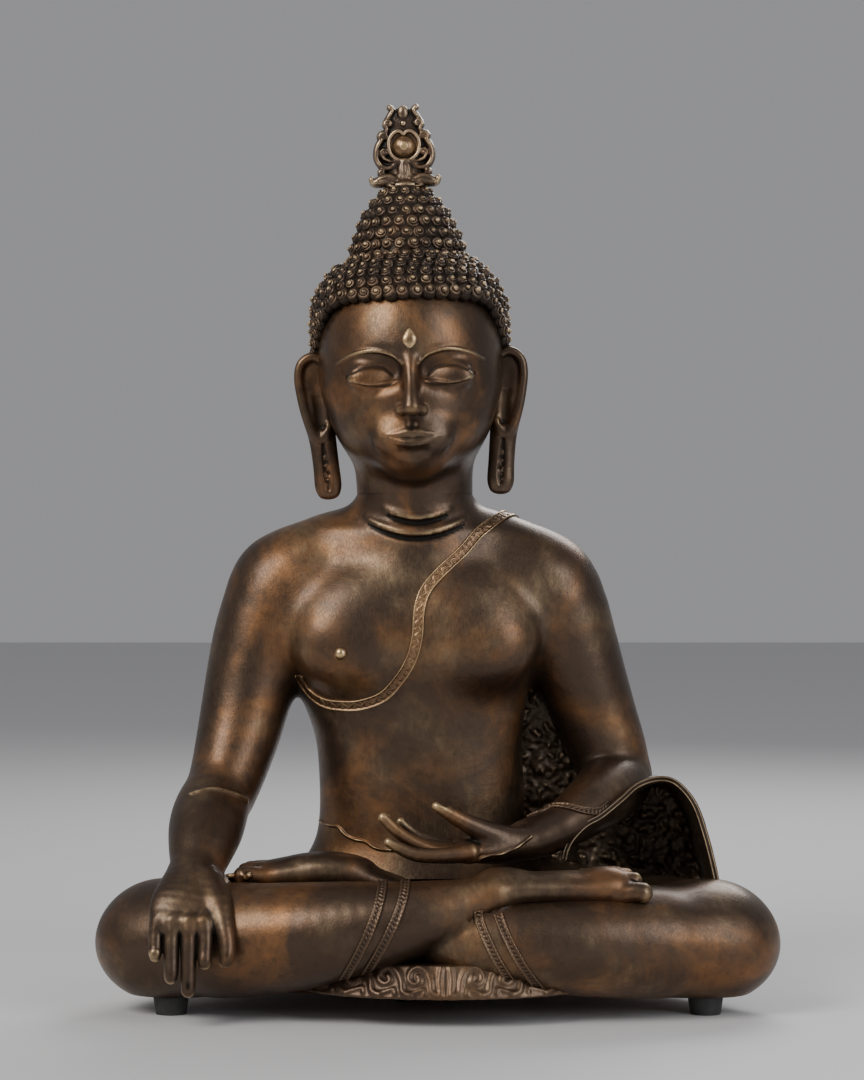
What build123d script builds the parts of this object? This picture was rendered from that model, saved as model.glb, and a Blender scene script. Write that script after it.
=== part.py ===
"""Seated earth-touching figure in hollow cast bronze, assembled from separately cast sections.

Millimetres, +Z up, the figure faces -Y.  The origin is on the surface it stands on, at the
middle of its footprint.  The figure's own right side is at -X.
"""
import os
from math import cos, radians, sin

from build123d import *

os.makedirs("parts", exist_ok=True)

# ---- driving dimensions -------------------------------------------------------------------
knee_span = 381.0        # across both knees
body_depth = 228.0       # front of the lap to the back of the hips
figure_height = 458.5    # underside of the seat to the top of the hair knot
finial_height = 48.0     # jewel finial above the hair knot
pad_height = 10.0        # rubber pads under the seat
pad_diameter = 20.0
pad_foot_diameter = 17.0
pad_spread = 298.0       # left pad to right pad
pad_stagger = 128.0      # front pads to rear pads

wall = 4.0               # thickness of the cast sections
plate_thickness = 3.0    # sheet that closes the underside
fit_gap = 0.25           # clearance of spigots, sleeves and pins
pin_diameter = 5.0       # cross pins through the neck
neck_sleeve_length = 30.0
waist_spigot_height = 9.0
tang_length = 14.0       # hands into arms, finial into hair knot
curl_depth = 6.0         # relief of the curls over the skull
cloth_thickness = 4.0    # hanging sleeve of the robe
band_width = 6.3         # hem across the chest
band_relief = 1.5
shin_band_width = 4.6
shin_band_gap = 6.5      # clear space between the two hems on a shin
waist_edge_width = 2.2
stud_diameter = 6.4      # breast stud
stud_pin_diameter = 2.6
urna_height = 11.0       # drop between the brows
cabochon_diameter = 14.0
screw_diameter = 4.0
screw_head_diameter = 7.5
screw_head_height = 2.4
screw_length = 9.0
ear_height = 84.0
ear_depth = 24.0
ear_thickness = 7.0
lobe_slit_length = 30.0
lobe_slit_width = 6.5

# The figure is laid out on a board of this size; the three overall sizes stretch it.
BOARD_SPAN, BOARD_DEPTH, BOARD_HEIGHT, BOARD_UNDERSIDE = 381.0, 228.0, 458.5, 10.0
span_ratio = knee_span / BOARD_SPAN
depth_ratio = body_depth / BOARD_DEPTH
height_ratio = figure_height / BOARD_HEIGHT
girth_ratio = (span_ratio * depth_ratio * height_ratio) ** (1 / 3)


def across(x):
    return x * span_ratio


def along(y):
    return y * depth_ratio


def up(z):
    return pad_height + (z - BOARD_UNDERSIDE) * height_ratio


def at(x, y, z):
    return Vector(across(x), along(y), up(z))


# ---- how every cast form is drawn -----------------------------------------------------------
def eased(rows, steps=2):
    """Rows of numbers with smooth rows added between them (a Catmull-Rom curve)."""
    padded = [rows[0]] + list(rows) + [rows[-1]]
    out = []
    for before, start, end, after in zip(padded, padded[1:], padded[2:], padded[3:]):
        for step in range(steps):
            t = step / steps
            out.append(tuple(
                0.5 * (2 * p1 + (p2 - p0) * t + (2 * p0 - 5 * p1 + 4 * p2 - p3) * t * t
                       + (3 * p1 - p0 - 3 * p2 + p3) * t ** 3)
                for p0, p1, p2, p3 in zip(before, start, end, after)))
    return out + [tuple(rows[-1])]


def column(rows, grow=0.0, mode=Mode.ADD):
    """Upright form: rows of height, centre x, centre y, half width, half depth."""
    levels = []
    for z, x, y, half_width, half_depth in eased(rows):
        with BuildSketch(Plane.XY.offset(up(z))) as level:
            with Locations((across(x), along(y))):
                Ellipse(half_width * span_ratio + grow, half_depth * depth_ratio + grow)
        levels.append(level.sketch)
    loft(sections=levels, ruled=True, mode=mode)


def limb(rows, grow=0.0, side_of=(0, 1, 0), steps=2, mode=Mode.ADD):
    """Limb along a path: rows of x, y, z, half width and half thickness of the section."""
    rows = eased(rows, steps)
    centres = [at(*row[:3]) for row in rows]
    ahead = centres[1:] + [centres[-1] * 2 - centres[-2]]
    behind = [centres[0] * 2 - centres[1]] + centres[:-1]
    rings = []
    for row, centre, after, before in zip(rows, centres, ahead, behind):
        heading = (after - before).normalized()
        side = heading.cross(Vector(*side_of)).normalized()
        with BuildSketch(Plane(origin=centre, x_dir=side, z_dir=heading)) as ring:
            Ellipse(row[3] * girth_ratio + grow, row[4] * girth_ratio + grow)
        rings.append(ring.sketch)
    loft(sections=rings, ruled=True, mode=mode)


def ground_outline(points, z, share, grow=0.0):
    """Closed curve through points at one height, drawn in towards the middle by a share."""
    middle = (0.0, 18.0)
    with BuildSketch(Plane.XY.offset(up(z))) as level:
        with BuildLine():
            Spline([(across(middle[0] + (x - middle[0]) * share),
                     along(middle[1] + (y - middle[1]) * share)) for x, y in points],
                   periodic=True)
        make_face()
        if grow:
            offset(amount=grow)
    return level.sketch


def finish(part, name):
    part.label = name
    export_step(part, f"parts/{name}.step")


# ---- body forms: the outside of each casting ----------------------------------------------
JOINT_WAIST, JOINT_NECK, JOINT_CROWN = 76.0, 291.0, 424.0
# the neck stays slim as far down as the sleeve inside it reaches
COLLAR = JOINT_NECK - neck_sleeve_length / 2 / height_ratio

TORSO = [
    (JOINT_WAIST, -9, 35, 69, 45), (98, -9, 36, 63, 38), (118, -9, 34, 60, 34), (151, -11, 31, 60.5, 36),
    (180, -13, 28, 65, 40), (209, -14, 26, 73, 42.5), (235, -14, 26, 79, 41),
    (252, -14, 27, 76, 34), (264, -14, 26, 58, 31), (COLLAR, -14, 22.5, 37, 31),
    (JOINT_NECK, -13.5, 21, 31, 29.5)]
HEAD = [
    (JOINT_NECK, -13.5, 21, 31, 29.5), (300, -14, 17, 35, 35), (309, -14.5, 10, 44, 44),
    (321, -15, 8, 50.5, 50.5), (340, -15.5, 9, 54.5, 55), (365, -16, 11, 56, 57.5),
    (390, -16, 13, 55, 56.5), (408, -16, 14, 50, 51), (JOINT_CROWN, -16, 15, 39, 40)]
KNOT = [
    (JOINT_CROWN, -16, 15, 36, 36.5), (431, -16.5, 15, 31, 31.5), (441, -17, 15, 29.5, 30),
    (452, -18, 15, 25, 25), (463, -18.5, 15, 19, 19), (468.5, -19, 15, 13, 13)]
HIPS = [(-8, 114), (-70, 102), (-118, 64), (-150, 18), (-158, -24), (-122, -48), (-60, -58),
        (0, -60), (60, -58), (122, -48), (158, -24), (150, 18), (118, 64), (54, 102)]
HIP_LEVELS = [(10, 0.92), (24, 0.99), (44, 1.0), (60, 0.96), (70, 0.86), (76, 0.72)]

RIGHT_ARM = [
    (-52, 28, 246, 31, 30), (-78, 28, 240, 31, 31), (-98, 26, 220, 28, 30),
    (-108, 20, 190, 26, 27), (-114, 12, 158, 24.5, 25), (-121, 0, 130, 22.5, 22),
    (-127, -22, 112, 21.5, 21), (-132, -46, 100, 20, 17), (-135, -66, 91, 16, 12.5)]
LEFT_ARM_UPPER = [
    (26, 28, 246, 31, 30), (52, 29, 240, 31, 31), (73, 31, 222, 28, 30),
    (84, 35, 195, 25, 26), (92, 39, 165, 23, 23.5), (101, 41, 138, 22, 22),
    (107, 40, 122, 16, 17)]
LEFT_FOREARM = [
    (118, 52, 125, 14, 16), (108, 38, 124, 20, 20.5), (95, 14, 117, 19.5, 19.5),
    (80, -8, 108, 16.5, 15.5), (66, -24, 101, 14.5, 13.5),
    (54, -34, 97, 14, 12.5)]
RIGHT_LEG = [
    (-188.5, -45, 40, 7, 7), (-185, -45, 40, 19, 17), (-178, -47, 41, 30, 26),
    (-155, -52, 42, 36, 33), (-115, -65, 43, 34, 33), (-72, -78, 47, 30, 28),
    (-28, -88, 54, 23, 22.5), (10, -90, 64, 16, 16)]
LEFT_LEG = [
    (188.5, -45, 40, 7, 7), (185, -45, 40, 19, 17), (178, -47, 41, 30, 26),
    (155, -52, 42, 36, 33), (115, -65, 43, 34, 33), (68, -77, 43, 31, 28),
    (24, -83, 42, 26, 24), (-22, -76, 46, 20, 19), (-48, -64, 58, 14, 14)]

with BuildPart() as torso_form:
    column(TORSO)
with BuildPart() as head_form:
    column(HEAD)
with BuildPart() as hip_form:
    loft(sections=[ground_outline(HIPS, z, share) for z, share in HIP_LEVELS])
with BuildPart() as right_leg_form:
    limb(RIGHT_LEG, side_of=(0, 0, 1))
    split(bisect_by=Plane.XY.offset(pad_height), keep=Keep.TOP)
with BuildPart() as left_leg_form:
    limb(LEFT_LEG, side_of=(0, 0, 1))
    split(bisect_by=Plane.XY.offset(pad_height), keep=Keep.TOP)
with BuildPart() as right_arm_form:
    limb(RIGHT_ARM)
with BuildPart() as left_forearm_form:
    limb(LEFT_FOREARM, side_of=(0, 0, 1))
with BuildPart() as left_arm_form:
    limb(LEFT_ARM_UPPER)
    add(left_forearm_form.part)


# ---- places of the pads, which the screw holes share ----------------------------------------
pad_line = -along(55)
PAD_PLACES = [("left", pad_spread / 2, pad_line), ("right", -pad_spread / 2, pad_line),
              ("centre", across(-17), along(-6)), ("rear", 0.0, pad_line + pad_stagger)]
underside = Plane.XY.offset(pad_height)


def screw_holes(deep):
    """Holes up into the underside, one over each pad."""
    with BuildSketch(underside) as marks:
        with Locations(*[(x, y) for _, x, y in PAD_PLACES]):
            Circle(screw_diameter / 2)
    extrude(marks.sketch, amount=deep, mode=Mode.SUBTRACT)


# ---- hips and legs -------------------------------------------------------------------------
waist_z, waist_x, waist_y, waist_half_width, waist_half_depth = TORSO[0]
spigot_half_width = waist_half_width * span_ratio - wall - fit_gap
spigot_half_depth = waist_half_depth * depth_ratio - wall - fit_gap

with BuildPart() as hip_casting:
    loft(sections=[ground_outline(HIPS, z, share) for z, share in HIP_LEVELS])
    offset(amount=-wall, openings=hip_casting.faces().filter_by(Plane.XY).sort_by(Axis.Z)[0])
    with BuildSketch(Plane.XY.offset(up(waist_z))):
        with Locations((across(waist_x), along(waist_y))):
            Ellipse(spigot_half_width, spigot_half_depth)
            Ellipse(spigot_half_width - wall, spigot_half_depth - wall, mode=Mode.SUBTRACT)
    extrude(amount=waist_spigot_height)
finish(hip_casting.part, "hip_casting")


def leg_floor(form):
    """Floor of a leg, never thinner than the wall, that the pad screws hold in."""
    with BuildPart(mode=Mode.PRIVATE) as floor:
        add(form.part)
        split(bisect_by=Plane.XY.offset(pad_height + wall), keep=Keep.BOTTOM)
    add(floor.part)


with BuildPart() as right_leg:
    add(right_leg_form.part)
    limb(RIGHT_LEG[2:], grow=-wall, side_of=(0, 0, 1), mode=Mode.SUBTRACT)
    leg_floor(right_leg_form)
    add(hip_form.part, mode=Mode.SUBTRACT)
    screw_holes(2 * wall)
finish(right_leg.part, "right_leg")

with BuildPart() as left_leg:
    add(left_leg_form.part)
    limb(LEFT_LEG[2:], grow=-wall, side_of=(0, 0, 1), mode=Mode.SUBTRACT)
    leg_floor(left_leg_form)
    add(hip_form.part, mode=Mode.SUBTRACT)
    add(right_leg_form.part, mode=Mode.SUBTRACT)
    screw_holes(2 * wall)
finish(left_leg.part, "left_leg")


def foot(sole, toe_roots, toe_reach):
    """Foot lying sole up: one limb for the sole and a short limb for each toe."""
    limb(sole, side_of=(0, 0, 1))
    for x, y, z, radius in toe_roots:
        limb([(x, y, z, radius, radius), (x + toe_reach, y, z + 1, radius, radius),
              (x + toe_reach * 1.25, y, z + 1, radius * 0.5, radius * 0.5)],
             side_of=(0, 0, 1), steps=1)


RIGHT_SOLE = [(6, -92, 71, 11, 9), (30, -90, 74, 12, 9.5), (62, -84, 76, 14.5, 10),
              (92, -77, 75, 17, 10.5), (106, -74, 74, 17, 9)]
LEFT_SOLE = [(-26, -50, 74, 9, 6), (-48, -50, 77, 13, 9), (-78, -48, 78, 15, 10),
             (-97, -46, 77, 15, 8)]
TOE_PITCH = 7.2
right_toes = [(103 - 1.5 * n, -87 + TOE_PITCH * n, 73 + n * 0.6, 4.6 - n * 0.35) for n in range(5)]
left_toes = [(-94 + 1.5 * n, -58 + TOE_PITCH * n, 77 + n * 0.6, 4.4 - n * 0.35) for n in range(5)]

with BuildPart() as right_foot:
    foot(RIGHT_SOLE, right_toes, 12)
    add(right_leg_form.part, mode=Mode.SUBTRACT)
    add(left_leg_form.part, mode=Mode.SUBTRACT)
    add(hip_form.part, mode=Mode.SUBTRACT)
finish(right_foot.part, "right_foot")

with BuildPart() as left_foot:
    foot(LEFT_SOLE, left_toes, -12)
    add(right_leg_form.part, mode=Mode.SUBTRACT)
    add(left_leg_form.part, mode=Mode.SUBTRACT)
    add(hip_form.part, mode=Mode.SUBTRACT)
    add(torso_form.part, mode=Mode.SUBTRACT)
finish(left_foot.part, "left_foot")


# ---- torso, neck sleeve and its pins ----------------------------------------------------------
neck_half_width = TORSO[-1][3] * span_ratio
neck_half_depth = TORSO[-1][4] * depth_ratio
neck_x, neck_y = across(TORSO[-1][1]), along(TORSO[-1][2])
joint_height = up(JOINT_NECK)
sleeve_inset = wall + fit_gap
pin_heights = [joint_height - neck_sleeve_length / 4, joint_height + neck_sleeve_length / 4]
pin_length = 3 * wall


def neck_pins(radius, mode=Mode.ADD):
    """Pins driven in from the nape, one under the neck joint and one over it."""
    for height in pin_heights:
        with BuildSketch(Plane.XZ.offset(-(neck_y + neck_half_depth))) as end:
            with Locations((neck_x, height)):
                Circle(radius)
        extrude(end.sketch, amount=pin_length, mode=mode)


front_plane = Plane.XZ.offset(body_depth)
stud_x, stud_z = across(-55.6), up(199.4)
with BuildPart() as torso_casting:
    add(torso_form.part)
    column(TORSO, grow=-wall, mode=Mode.SUBTRACT)
    neck_pins(pin_diameter / 2 + fit_gap / 2, mode=Mode.SUBTRACT)
    with BuildSketch(front_plane):
        with Locations((stud_x, stud_z)):
            Circle((stud_pin_diameter + fit_gap) / 2)
    extrude(amount=-body_depth - along(20), mode=Mode.SUBTRACT)
finish(torso_casting.part, "torso_casting")

with BuildPart() as neck_sleeve:
    with BuildSketch(Plane.XY.offset(joint_height - neck_sleeve_length / 2)):
        with Locations((neck_x, neck_y)):
            Ellipse(neck_half_width - sleeve_inset, neck_half_depth - sleeve_inset)
            Ellipse(neck_half_width - sleeve_inset - wall, neck_half_depth - sleeve_inset - wall,
                    mode=Mode.SUBTRACT)
    extrude(amount=neck_sleeve_length)
    neck_pins(pin_diameter / 2 + fit_gap / 2, mode=Mode.SUBTRACT)
finish(neck_sleeve.part, "neck_sleeve")

with BuildPart() as pins:
    neck_pins(pin_diameter / 2)
finish(pins.part, "neck_pins")


# ---- arms and hands -------------------------------------------------------------------------
with BuildPart() as right_arm:
    add(right_arm_form.part)
    limb(RIGHT_ARM, grow=-wall, mode=Mode.SUBTRACT)
    add(torso_form.part, mode=Mode.SUBTRACT)
finish(right_arm.part, "right_arm")

with BuildPart() as left_arm:
    add(left_arm_form.part)
    limb(LEFT_ARM_UPPER, grow=-wall, mode=Mode.SUBTRACT)
    limb(LEFT_FOREARM[1:], grow=-wall, side_of=(0, 0, 1), mode=Mode.SUBTRACT)
    add(torso_form.part, mode=Mode.SUBTRACT)
finish(left_arm.part, "left_arm")


def digit(root, middle, tip, radius):
    """One finger or thumb, a little slimmer towards its tip."""
    beyond = [t + (t - m) * 0.12 for t, m in zip(tip, middle)]
    limb([(*root, radius, radius), (*middle, radius * 0.95, radius * 0.95),
          (*tip, radius * 0.82, radius * 0.82), (*beyond, radius * 0.4, radius * 0.4)], steps=1)


def tang(arm_rows, side_of):
    """Stub on a hand that slides into the hollow end of its arm."""
    x, y, z, half_width, half_thickness = eased(arm_rows)[-1]
    end = at(x, y, z)
    inwards = (at(*eased(arm_rows)[-2][:3]) - end).normalized()
    side = inwards.cross(Vector(*side_of)).normalized()
    with BuildSketch(Plane(origin=end, x_dir=side, z_dir=inwards)) as root:
        Ellipse(half_width * girth_ratio - sleeve_inset, half_thickness * girth_ratio - sleeve_inset)
    extrude(root.sketch, amount=tang_length)


RIGHT_PALM = [(-135, -66, 91, 14, 11), (-135, -83, 81, 18, 11), (-135, -96, 64, 22, 10),
              (-134, -102, 48, 20, 8.5)]
FINGER_RADIUS = 4.2
# root, middle and tip of the right thumb and fingers, thumb first
RIGHT_DIGITS = [
    ((-120, -90, 68), (-114, -99, 50), (-115, -102, 36)),
    ((-122, -102, 52), (-124, -106, 40), (-125, -107, 32)),
    ((-131, -103, 50), (-131, -107, 34), (-132, -108, 20)),
    ((-140, -102, 50), (-141, -106, 36), (-141, -107, 26)),
    ((-149, -99, 53), (-151, -103, 42), (-151, -104, 35))]

with BuildPart() as right_hand:
    limb(RIGHT_PALM)
    for joints in RIGHT_DIGITS:
        digit(*joints, FINGER_RADIUS)
    add(right_leg_form.part, mode=Mode.SUBTRACT)
    add(right_arm_form.part, mode=Mode.SUBTRACT)
    tang(RIGHT_ARM, (0, 1, 0))
finish(right_hand.part, "right_hand")

LEFT_PALM = [(54, -34, 97, 14, 12), (42, -42, 95, 19, 11), (28, -48, 93.5, 21, 9.5),
             (12, -54, 94, 20, 8)]
LEFT_DIGITS = [
    ((40, -50, 99), (20, -57, 109), (4, -59, 117)),
    ((16, -40, 95), (-8, -52, 99), (-26, -60, 108)),
    ((14, -49, 94), (-10, -59, 92), (-28, -66, 97)),
    ((14, -57, 93), (-8, -65, 90), (-24, -70, 93)),
    ((16, -64, 93), (0, -70, 90), (-12, -74, 92))]

with BuildPart() as left_hand:
    limb(LEFT_PALM, side_of=(0, 0, 1))
    for joints in LEFT_DIGITS:
        digit(*joints, FINGER_RADIUS)
    add(left_arm_form.part, mode=Mode.SUBTRACT)
    add(torso_form.part, mode=Mode.SUBTRACT)
    add(right_foot.part, mode=Mode.SUBTRACT)
    add(left_foot.part, mode=Mode.SUBTRACT)
    tang(LEFT_FOREARM, (0, 0, 1))
finish(left_hand.part, "left_hand")


# ---- robe: hems, hanging sleeve, back web and the fan under the shins ------------------------
def strip(points, width, plane):
    """Ribbon of even width along a curve drawn on a plane."""
    with BuildSketch(plane) as ribbon:
        with BuildLine():
            Spline([(across(x), up(z)) for x, z in points])
        trace(line_width=width)
    return ribbon.sketch


back_plane = Plane.XZ.offset(-along(26))
CHEST_HEM = [(37, 284), (28, 273), (14, 258), (-4, 240), (-11, 222), (-15, 197), (-31, 175),
             (-55, 168.5), (-74, 175), (-84, 190)]
BACK_HEM = [(37, 284), (10, 258), (-25, 226), (-60, 200), (-84, 190)]

with BuildPart() as torso_skin:
    column(TORSO, grow=band_relief)
    add(torso_form.part, mode=Mode.SUBTRACT)
    add(right_arm_form.part, mode=Mode.SUBTRACT)
    add(left_arm_form.part, mode=Mode.SUBTRACT)

with BuildPart() as hem_front:
    add(torso_skin.part)
    extrude(strip(CHEST_HEM, band_width, front_plane), amount=-body_depth - along(26),
            mode=Mode.INTERSECT)
with BuildPart() as hem_back:
    add(torso_skin.part)
    extrude(strip(BACK_HEM, band_width, back_plane), amount=-body_depth, mode=Mode.INTERSECT)
with BuildPart() as chest_hem_band:
    add(hem_front.part)
    add(hem_back.part)
finish(chest_hem_band.part, "chest_hem_band")

WAIST_EDGE = [(-72, 101), (-63, 98.5), (-55, 95), (-45, 89), (-34, 86.5), (-10, 85), (20, 86),
              (40, 92), (56, 100)]
with BuildPart() as waist_edge:
    add(torso_skin.part)
    extrude(strip(WAIST_EDGE, waist_edge_width, front_plane), amount=-body_depth - along(26),
            mode=Mode.INTERSECT)
    add(left_hand.part, mode=Mode.SUBTRACT)
finish(waist_edge.part, "waist_edge")

shin_hem_pitch = shin_band_width + shin_band_gap
RIGHT_SHIN_HEM = [(-24, 82), (-28, 68), (-38, 48), (-52, 28)]
LEFT_SHIN_HEM = [(20, 72), (24, 60), (34, 44), (50, 24)]


def shin_hems(rows, hem, own_form):
    """Two parallel hem bands wrapped over the front of a shin."""
    with BuildPart() as bands:
        for shift in (0, shin_hem_pitch):
            shifted = [(x + shift / span_ratio, z) for x, z in hem]
            extrude(strip(shifted, shin_band_width, front_plane),
                    amount=-body_depth + along(78))
        limb(rows, grow=band_relief, side_of=(0, 0, 1), mode=Mode.INTERSECT)
        add(own_form.part, mode=Mode.SUBTRACT)
        add(hip_form.part, mode=Mode.SUBTRACT)
    return bands


with BuildPart() as right_shin_hems:
    add(shin_hems(RIGHT_LEG, RIGHT_SHIN_HEM, right_leg_form).part)
    add(left_leg_form.part, mode=Mode.SUBTRACT)
    add(right_foot.part, mode=Mode.SUBTRACT)
    add(left_foot.part, mode=Mode.SUBTRACT)
finish(right_shin_hems.part, "right_shin_hems")
with BuildPart() as left_shin_hems:
    add(shin_hems(LEFT_LEG, LEFT_SHIN_HEM, left_leg_form).part)
    add(right_leg_form.part, mode=Mode.SUBTRACT)
    add(right_foot.part, mode=Mode.SUBTRACT)
finish(left_shin_hems.part, "left_shin_hems")

CUFF = [(78, 78), (74, 90), (67, 103), (58, 118)]
with BuildPart() as sleeve_cuff:
    limb(LEFT_FOREARM, grow=band_relief, side_of=(0, 0, 1))
    extrude(strip(CUFF, band_width, front_plane), amount=-body_depth - along(26),
            mode=Mode.INTERSECT)
    add(left_arm_form.part, mode=Mode.SUBTRACT)
    add(left_hand.part, mode=Mode.SUBTRACT)
    add(torso_form.part, mode=Mode.SUBTRACT)
finish(sleeve_cuff.part, "sleeve_cuff")

WEB_OUTLINE = [(40, 192), (66, 186), (84, 158), (112, 130), (150, 112), (157, 90), (158, 60),
               (40, 60)]
web_front, sleeve_front = along(40), along(-40)
with BuildPart() as robe_back_web:
    with BuildSketch(Plane.XZ.offset(-web_front)):
        with BuildLine():
            Polyline([(across(x), up(z)) for x, z in WEB_OUTLINE], close=True)
        make_face()
    extrude(amount=-cloth_thickness)
    add(torso_form.part, mode=Mode.SUBTRACT)
    add(left_arm_form.part, mode=Mode.SUBTRACT)
    add(hip_form.part, mode=Mode.SUBTRACT)
finish(robe_back_web.part, "robe_back_web")

SLEEVE_ARCH = [(119, 134), (129, 132), (140, 126), (149, 113), (154, 93), (159, 60)]
with BuildPart() as hanging_sleeve:
    extrude(strip(SLEEVE_ARCH, cloth_thickness, Plane.XZ.offset(-web_front)),
            amount=web_front - sleeve_front)
    add(left_arm_form.part, mode=Mode.SUBTRACT)
    add(left_leg_form.part, mode=Mode.SUBTRACT)
    add(hip_form.part, mode=Mode.SUBTRACT)
    add(robe_back_web.part, mode=Mode.SUBTRACT)
finish(hanging_sleeve.part, "hanging_sleeve")

fan_middle, fan_back = across(4), along(-60)
fan_half_width, fan_reach, fan_slope = across(83), along(114) + fan_back, 12.0
with BuildPart() as skirt_fan:
    levels = []
    for height, inset in ((up(17), 0.0), (up(34), fan_slope)):
        with BuildSketch(Plane.XY.offset(height)) as level:
            with Locations((fan_middle, fan_back)):
                Ellipse(fan_half_width - inset, fan_reach - inset)
        levels.append(level.sketch)
    loft(sections=levels)
    add(right_leg_form.part, mode=Mode.SUBTRACT)
    add(left_leg_form.part, mode=Mode.SUBTRACT)
    add(hip_form.part, mode=Mode.SUBTRACT)
    add(right_shin_hems.part, mode=Mode.SUBTRACT)
    add(left_shin_hems.part, mode=Mode.SUBTRACT)
finish(skirt_fan.part, "skirt_fan")


# ---- head, ears, hair and ornaments ---------------------------------------------------------
FACE_X = -15.7
with BuildPart() as head_casting:
    add(head_form.part)
    column(HEAD[:-1] + [(419, -16, 15, 42, 43)], grow=-wall, mode=Mode.SUBTRACT)
    limb([(FACE_X, -42, 371, 3, 3), (FACE_X, -48, 356, 4, 4), (FACE_X, -51, 341, 6, 5.5),
          (FACE_X, -47, 333, 5, 4)], side_of=(0, 1, 0))
    for side in (-1, 1):
        limb([(FACE_X + side * 11, -41.5, 357, 1.5, 1.5), (FACE_X + side * 22, -40, 358, 6, 6.5),
              (FACE_X + side * 34, -32.5, 358, 1.5, 1.5)], side_of=(0, 0, 1))
    for height, girth in ((323.5, 3.0), (319.5, 3.6)):
        limb([(FACE_X - 11.4, -38, height, 1, 1), (FACE_X, -42.5, height, girth, girth),
              (FACE_X + 11.4, -38, height, 1, 1)], side_of=(0, 0, 1))
    neck_pins(pin_diameter / 2 + fit_gap / 2, mode=Mode.SUBTRACT)
finish(head_casting.part, "head_casting")

hairline = Plane(origin=at(0, -45, 402), x_dir=(1, 0, 0), z_dir=(0, 72, 115))
with BuildPart() as hair_form:
    column(HEAD[3:], grow=curl_depth)
    split(bisect_by=hairline, keep=Keep.TOP)
with BuildPart() as hair_cap:
    add(hair_form.part)
    add(head_form.part, mode=Mode.SUBTRACT)
finish(hair_cap.part, "hair_cap")

tang_radius = 3.2
knot_top = up(KNOT[-1][0])
knot_x, knot_y = across(KNOT[-1][1]), along(KNOT[-1][2])
with BuildPart() as hair_knot:
    column(KNOT)
    column(KNOT[:-1], grow=-wall, mode=Mode.SUBTRACT)
    with BuildSketch(Plane.XY.offset(knot_top)):
        with Locations((knot_x, knot_y)):
            Circle(tang_radius + fit_gap)
    extrude(amount=-tang_length, mode=Mode.SUBTRACT)
finish(hair_knot.part, "hair_knot")

plate_depth, cabochon_seat, cabochon_rise = 7.0, 1.6, 4.5
cabochon_height = knot_top + finial_height * 0.5
with BuildPart() as finial:
    for height, radius, rise in ((0.0, 11.0, 2.5), (2.5, 16.0, 3.0), (5.5, 9.0, 6.0)):
        with BuildSketch(Plane.XY.offset(knot_top + height)):
            with Locations((knot_x, knot_y)):
                Circle(radius)
        extrude(amount=rise, taper=8)
    with BuildSketch(Plane.XZ.offset(-knot_y - plate_depth / 2)):
        with Locations((knot_x, cabochon_height)):
            Ellipse(finial_height * 0.31, finial_height * 0.28)
        with Locations((knot_x, cabochon_height + finial_height * 0.25)):
            Ellipse(finial_height * 0.15, finial_height * 0.25)
    extrude(amount=plate_depth)
    with BuildSketch(Plane.XZ.offset(-knot_y + plate_depth / 2)):
        with Locations((knot_x, cabochon_height)):
            Circle(cabochon_diameter / 2 + fit_gap)
    extrude(amount=-cabochon_seat, mode=Mode.SUBTRACT)
    with BuildSketch(Plane.XY.offset(knot_top)):
        with Locations((knot_x, knot_y)):
            Circle(tang_radius)
    extrude(amount=-tang_length)
finish(finial.part, "finial")

with BuildPart() as finial_cabochon:
    with BuildSketch(Plane.XZ.offset(-knot_y + plate_depth / 2 - cabochon_seat)):
        with Locations((knot_x, cabochon_height)):
            Circle(cabochon_diameter / 2)
    extrude(amount=cabochon_seat + cabochon_rise)
    fillet(finial_cabochon.faces().sort_by(Axis.Y)[0].edges(), cabochon_rise * 0.9)
finish(finial_cabochon.part, "finial_cabochon")

ear_lean = radians(11)
for side, sign, ear_x in (("right", -1, -72.5), ("left", 1, 41.5)):
    ear_face = Plane(origin=at(ear_x, 12, 327), x_dir=(0, 1, 0),
                     z_dir=(sign * cos(ear_lean), 0, -sin(ear_lean)))
    with BuildPart() as ear:
        with BuildSketch(ear_face) as outline:
            SlotOverall(ear_height, ear_depth, rotation=90)
            with Locations((0, sign * (lobe_slit_length - ear_height) / 2 + sign * ear_depth / 3)):
                SlotOverall(lobe_slit_length, lobe_slit_width, rotation=90, mode=Mode.SUBTRACT)
        extrude(outline.sketch, amount=ear_thickness / 2, both=True)
        add(head_form.part, mode=Mode.SUBTRACT)
        add(hair_form.part, mode=Mode.SUBTRACT)
    finish(ear.part, f"{side}_ear")

with BuildPart() as urna_drop:
    limb([(FACE_X, -44.5, 368, 1.8, 1.8), (FACE_X, -45.5, 371.5, 3.6, 3),
          (FACE_X, -45.5, 375, 2.6, 2.2), (FACE_X, -45, 368 + urna_height, 0.5, 0.5)])
    add(head_casting.part, mode=Mode.SUBTRACT)
    add(head_form.part, mode=Mode.SUBTRACT)
finish(urna_drop.part, "urna_drop")

stud_y = along(-8)
with BuildPart() as breast_stud:
    with BuildSketch(Plane.XZ.offset(-stud_y)):
        with Locations((stud_x, stud_z)):
            Circle(stud_diameter / 2)
    extrude(amount=stud_diameter * 0.4)
    fillet(breast_stud.faces().sort_by(Axis.Y)[0].edges(), stud_diameter * 0.36)
    with BuildSketch(Plane.XZ.offset(-stud_y)):
        with Locations((stud_x, stud_z)):
            Circle(stud_pin_diameter / 2)
    extrude(amount=-4 * wall)
    add(torso_casting.part, mode=Mode.SUBTRACT)
finish(breast_stud.part, "breast_stud")


# ---- underside: closing plate, rubber pads and their screws ---------------------------------
with BuildPart() as base_plate:
    extrude(ground_outline(HIPS, BOARD_UNDERSIDE, HIP_LEVELS[0][1]), amount=plate_thickness)
    add(hip_casting.part, mode=Mode.SUBTRACT)
    screw_holes(plate_thickness)
finish(base_plate.part, "base_plate")

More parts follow.
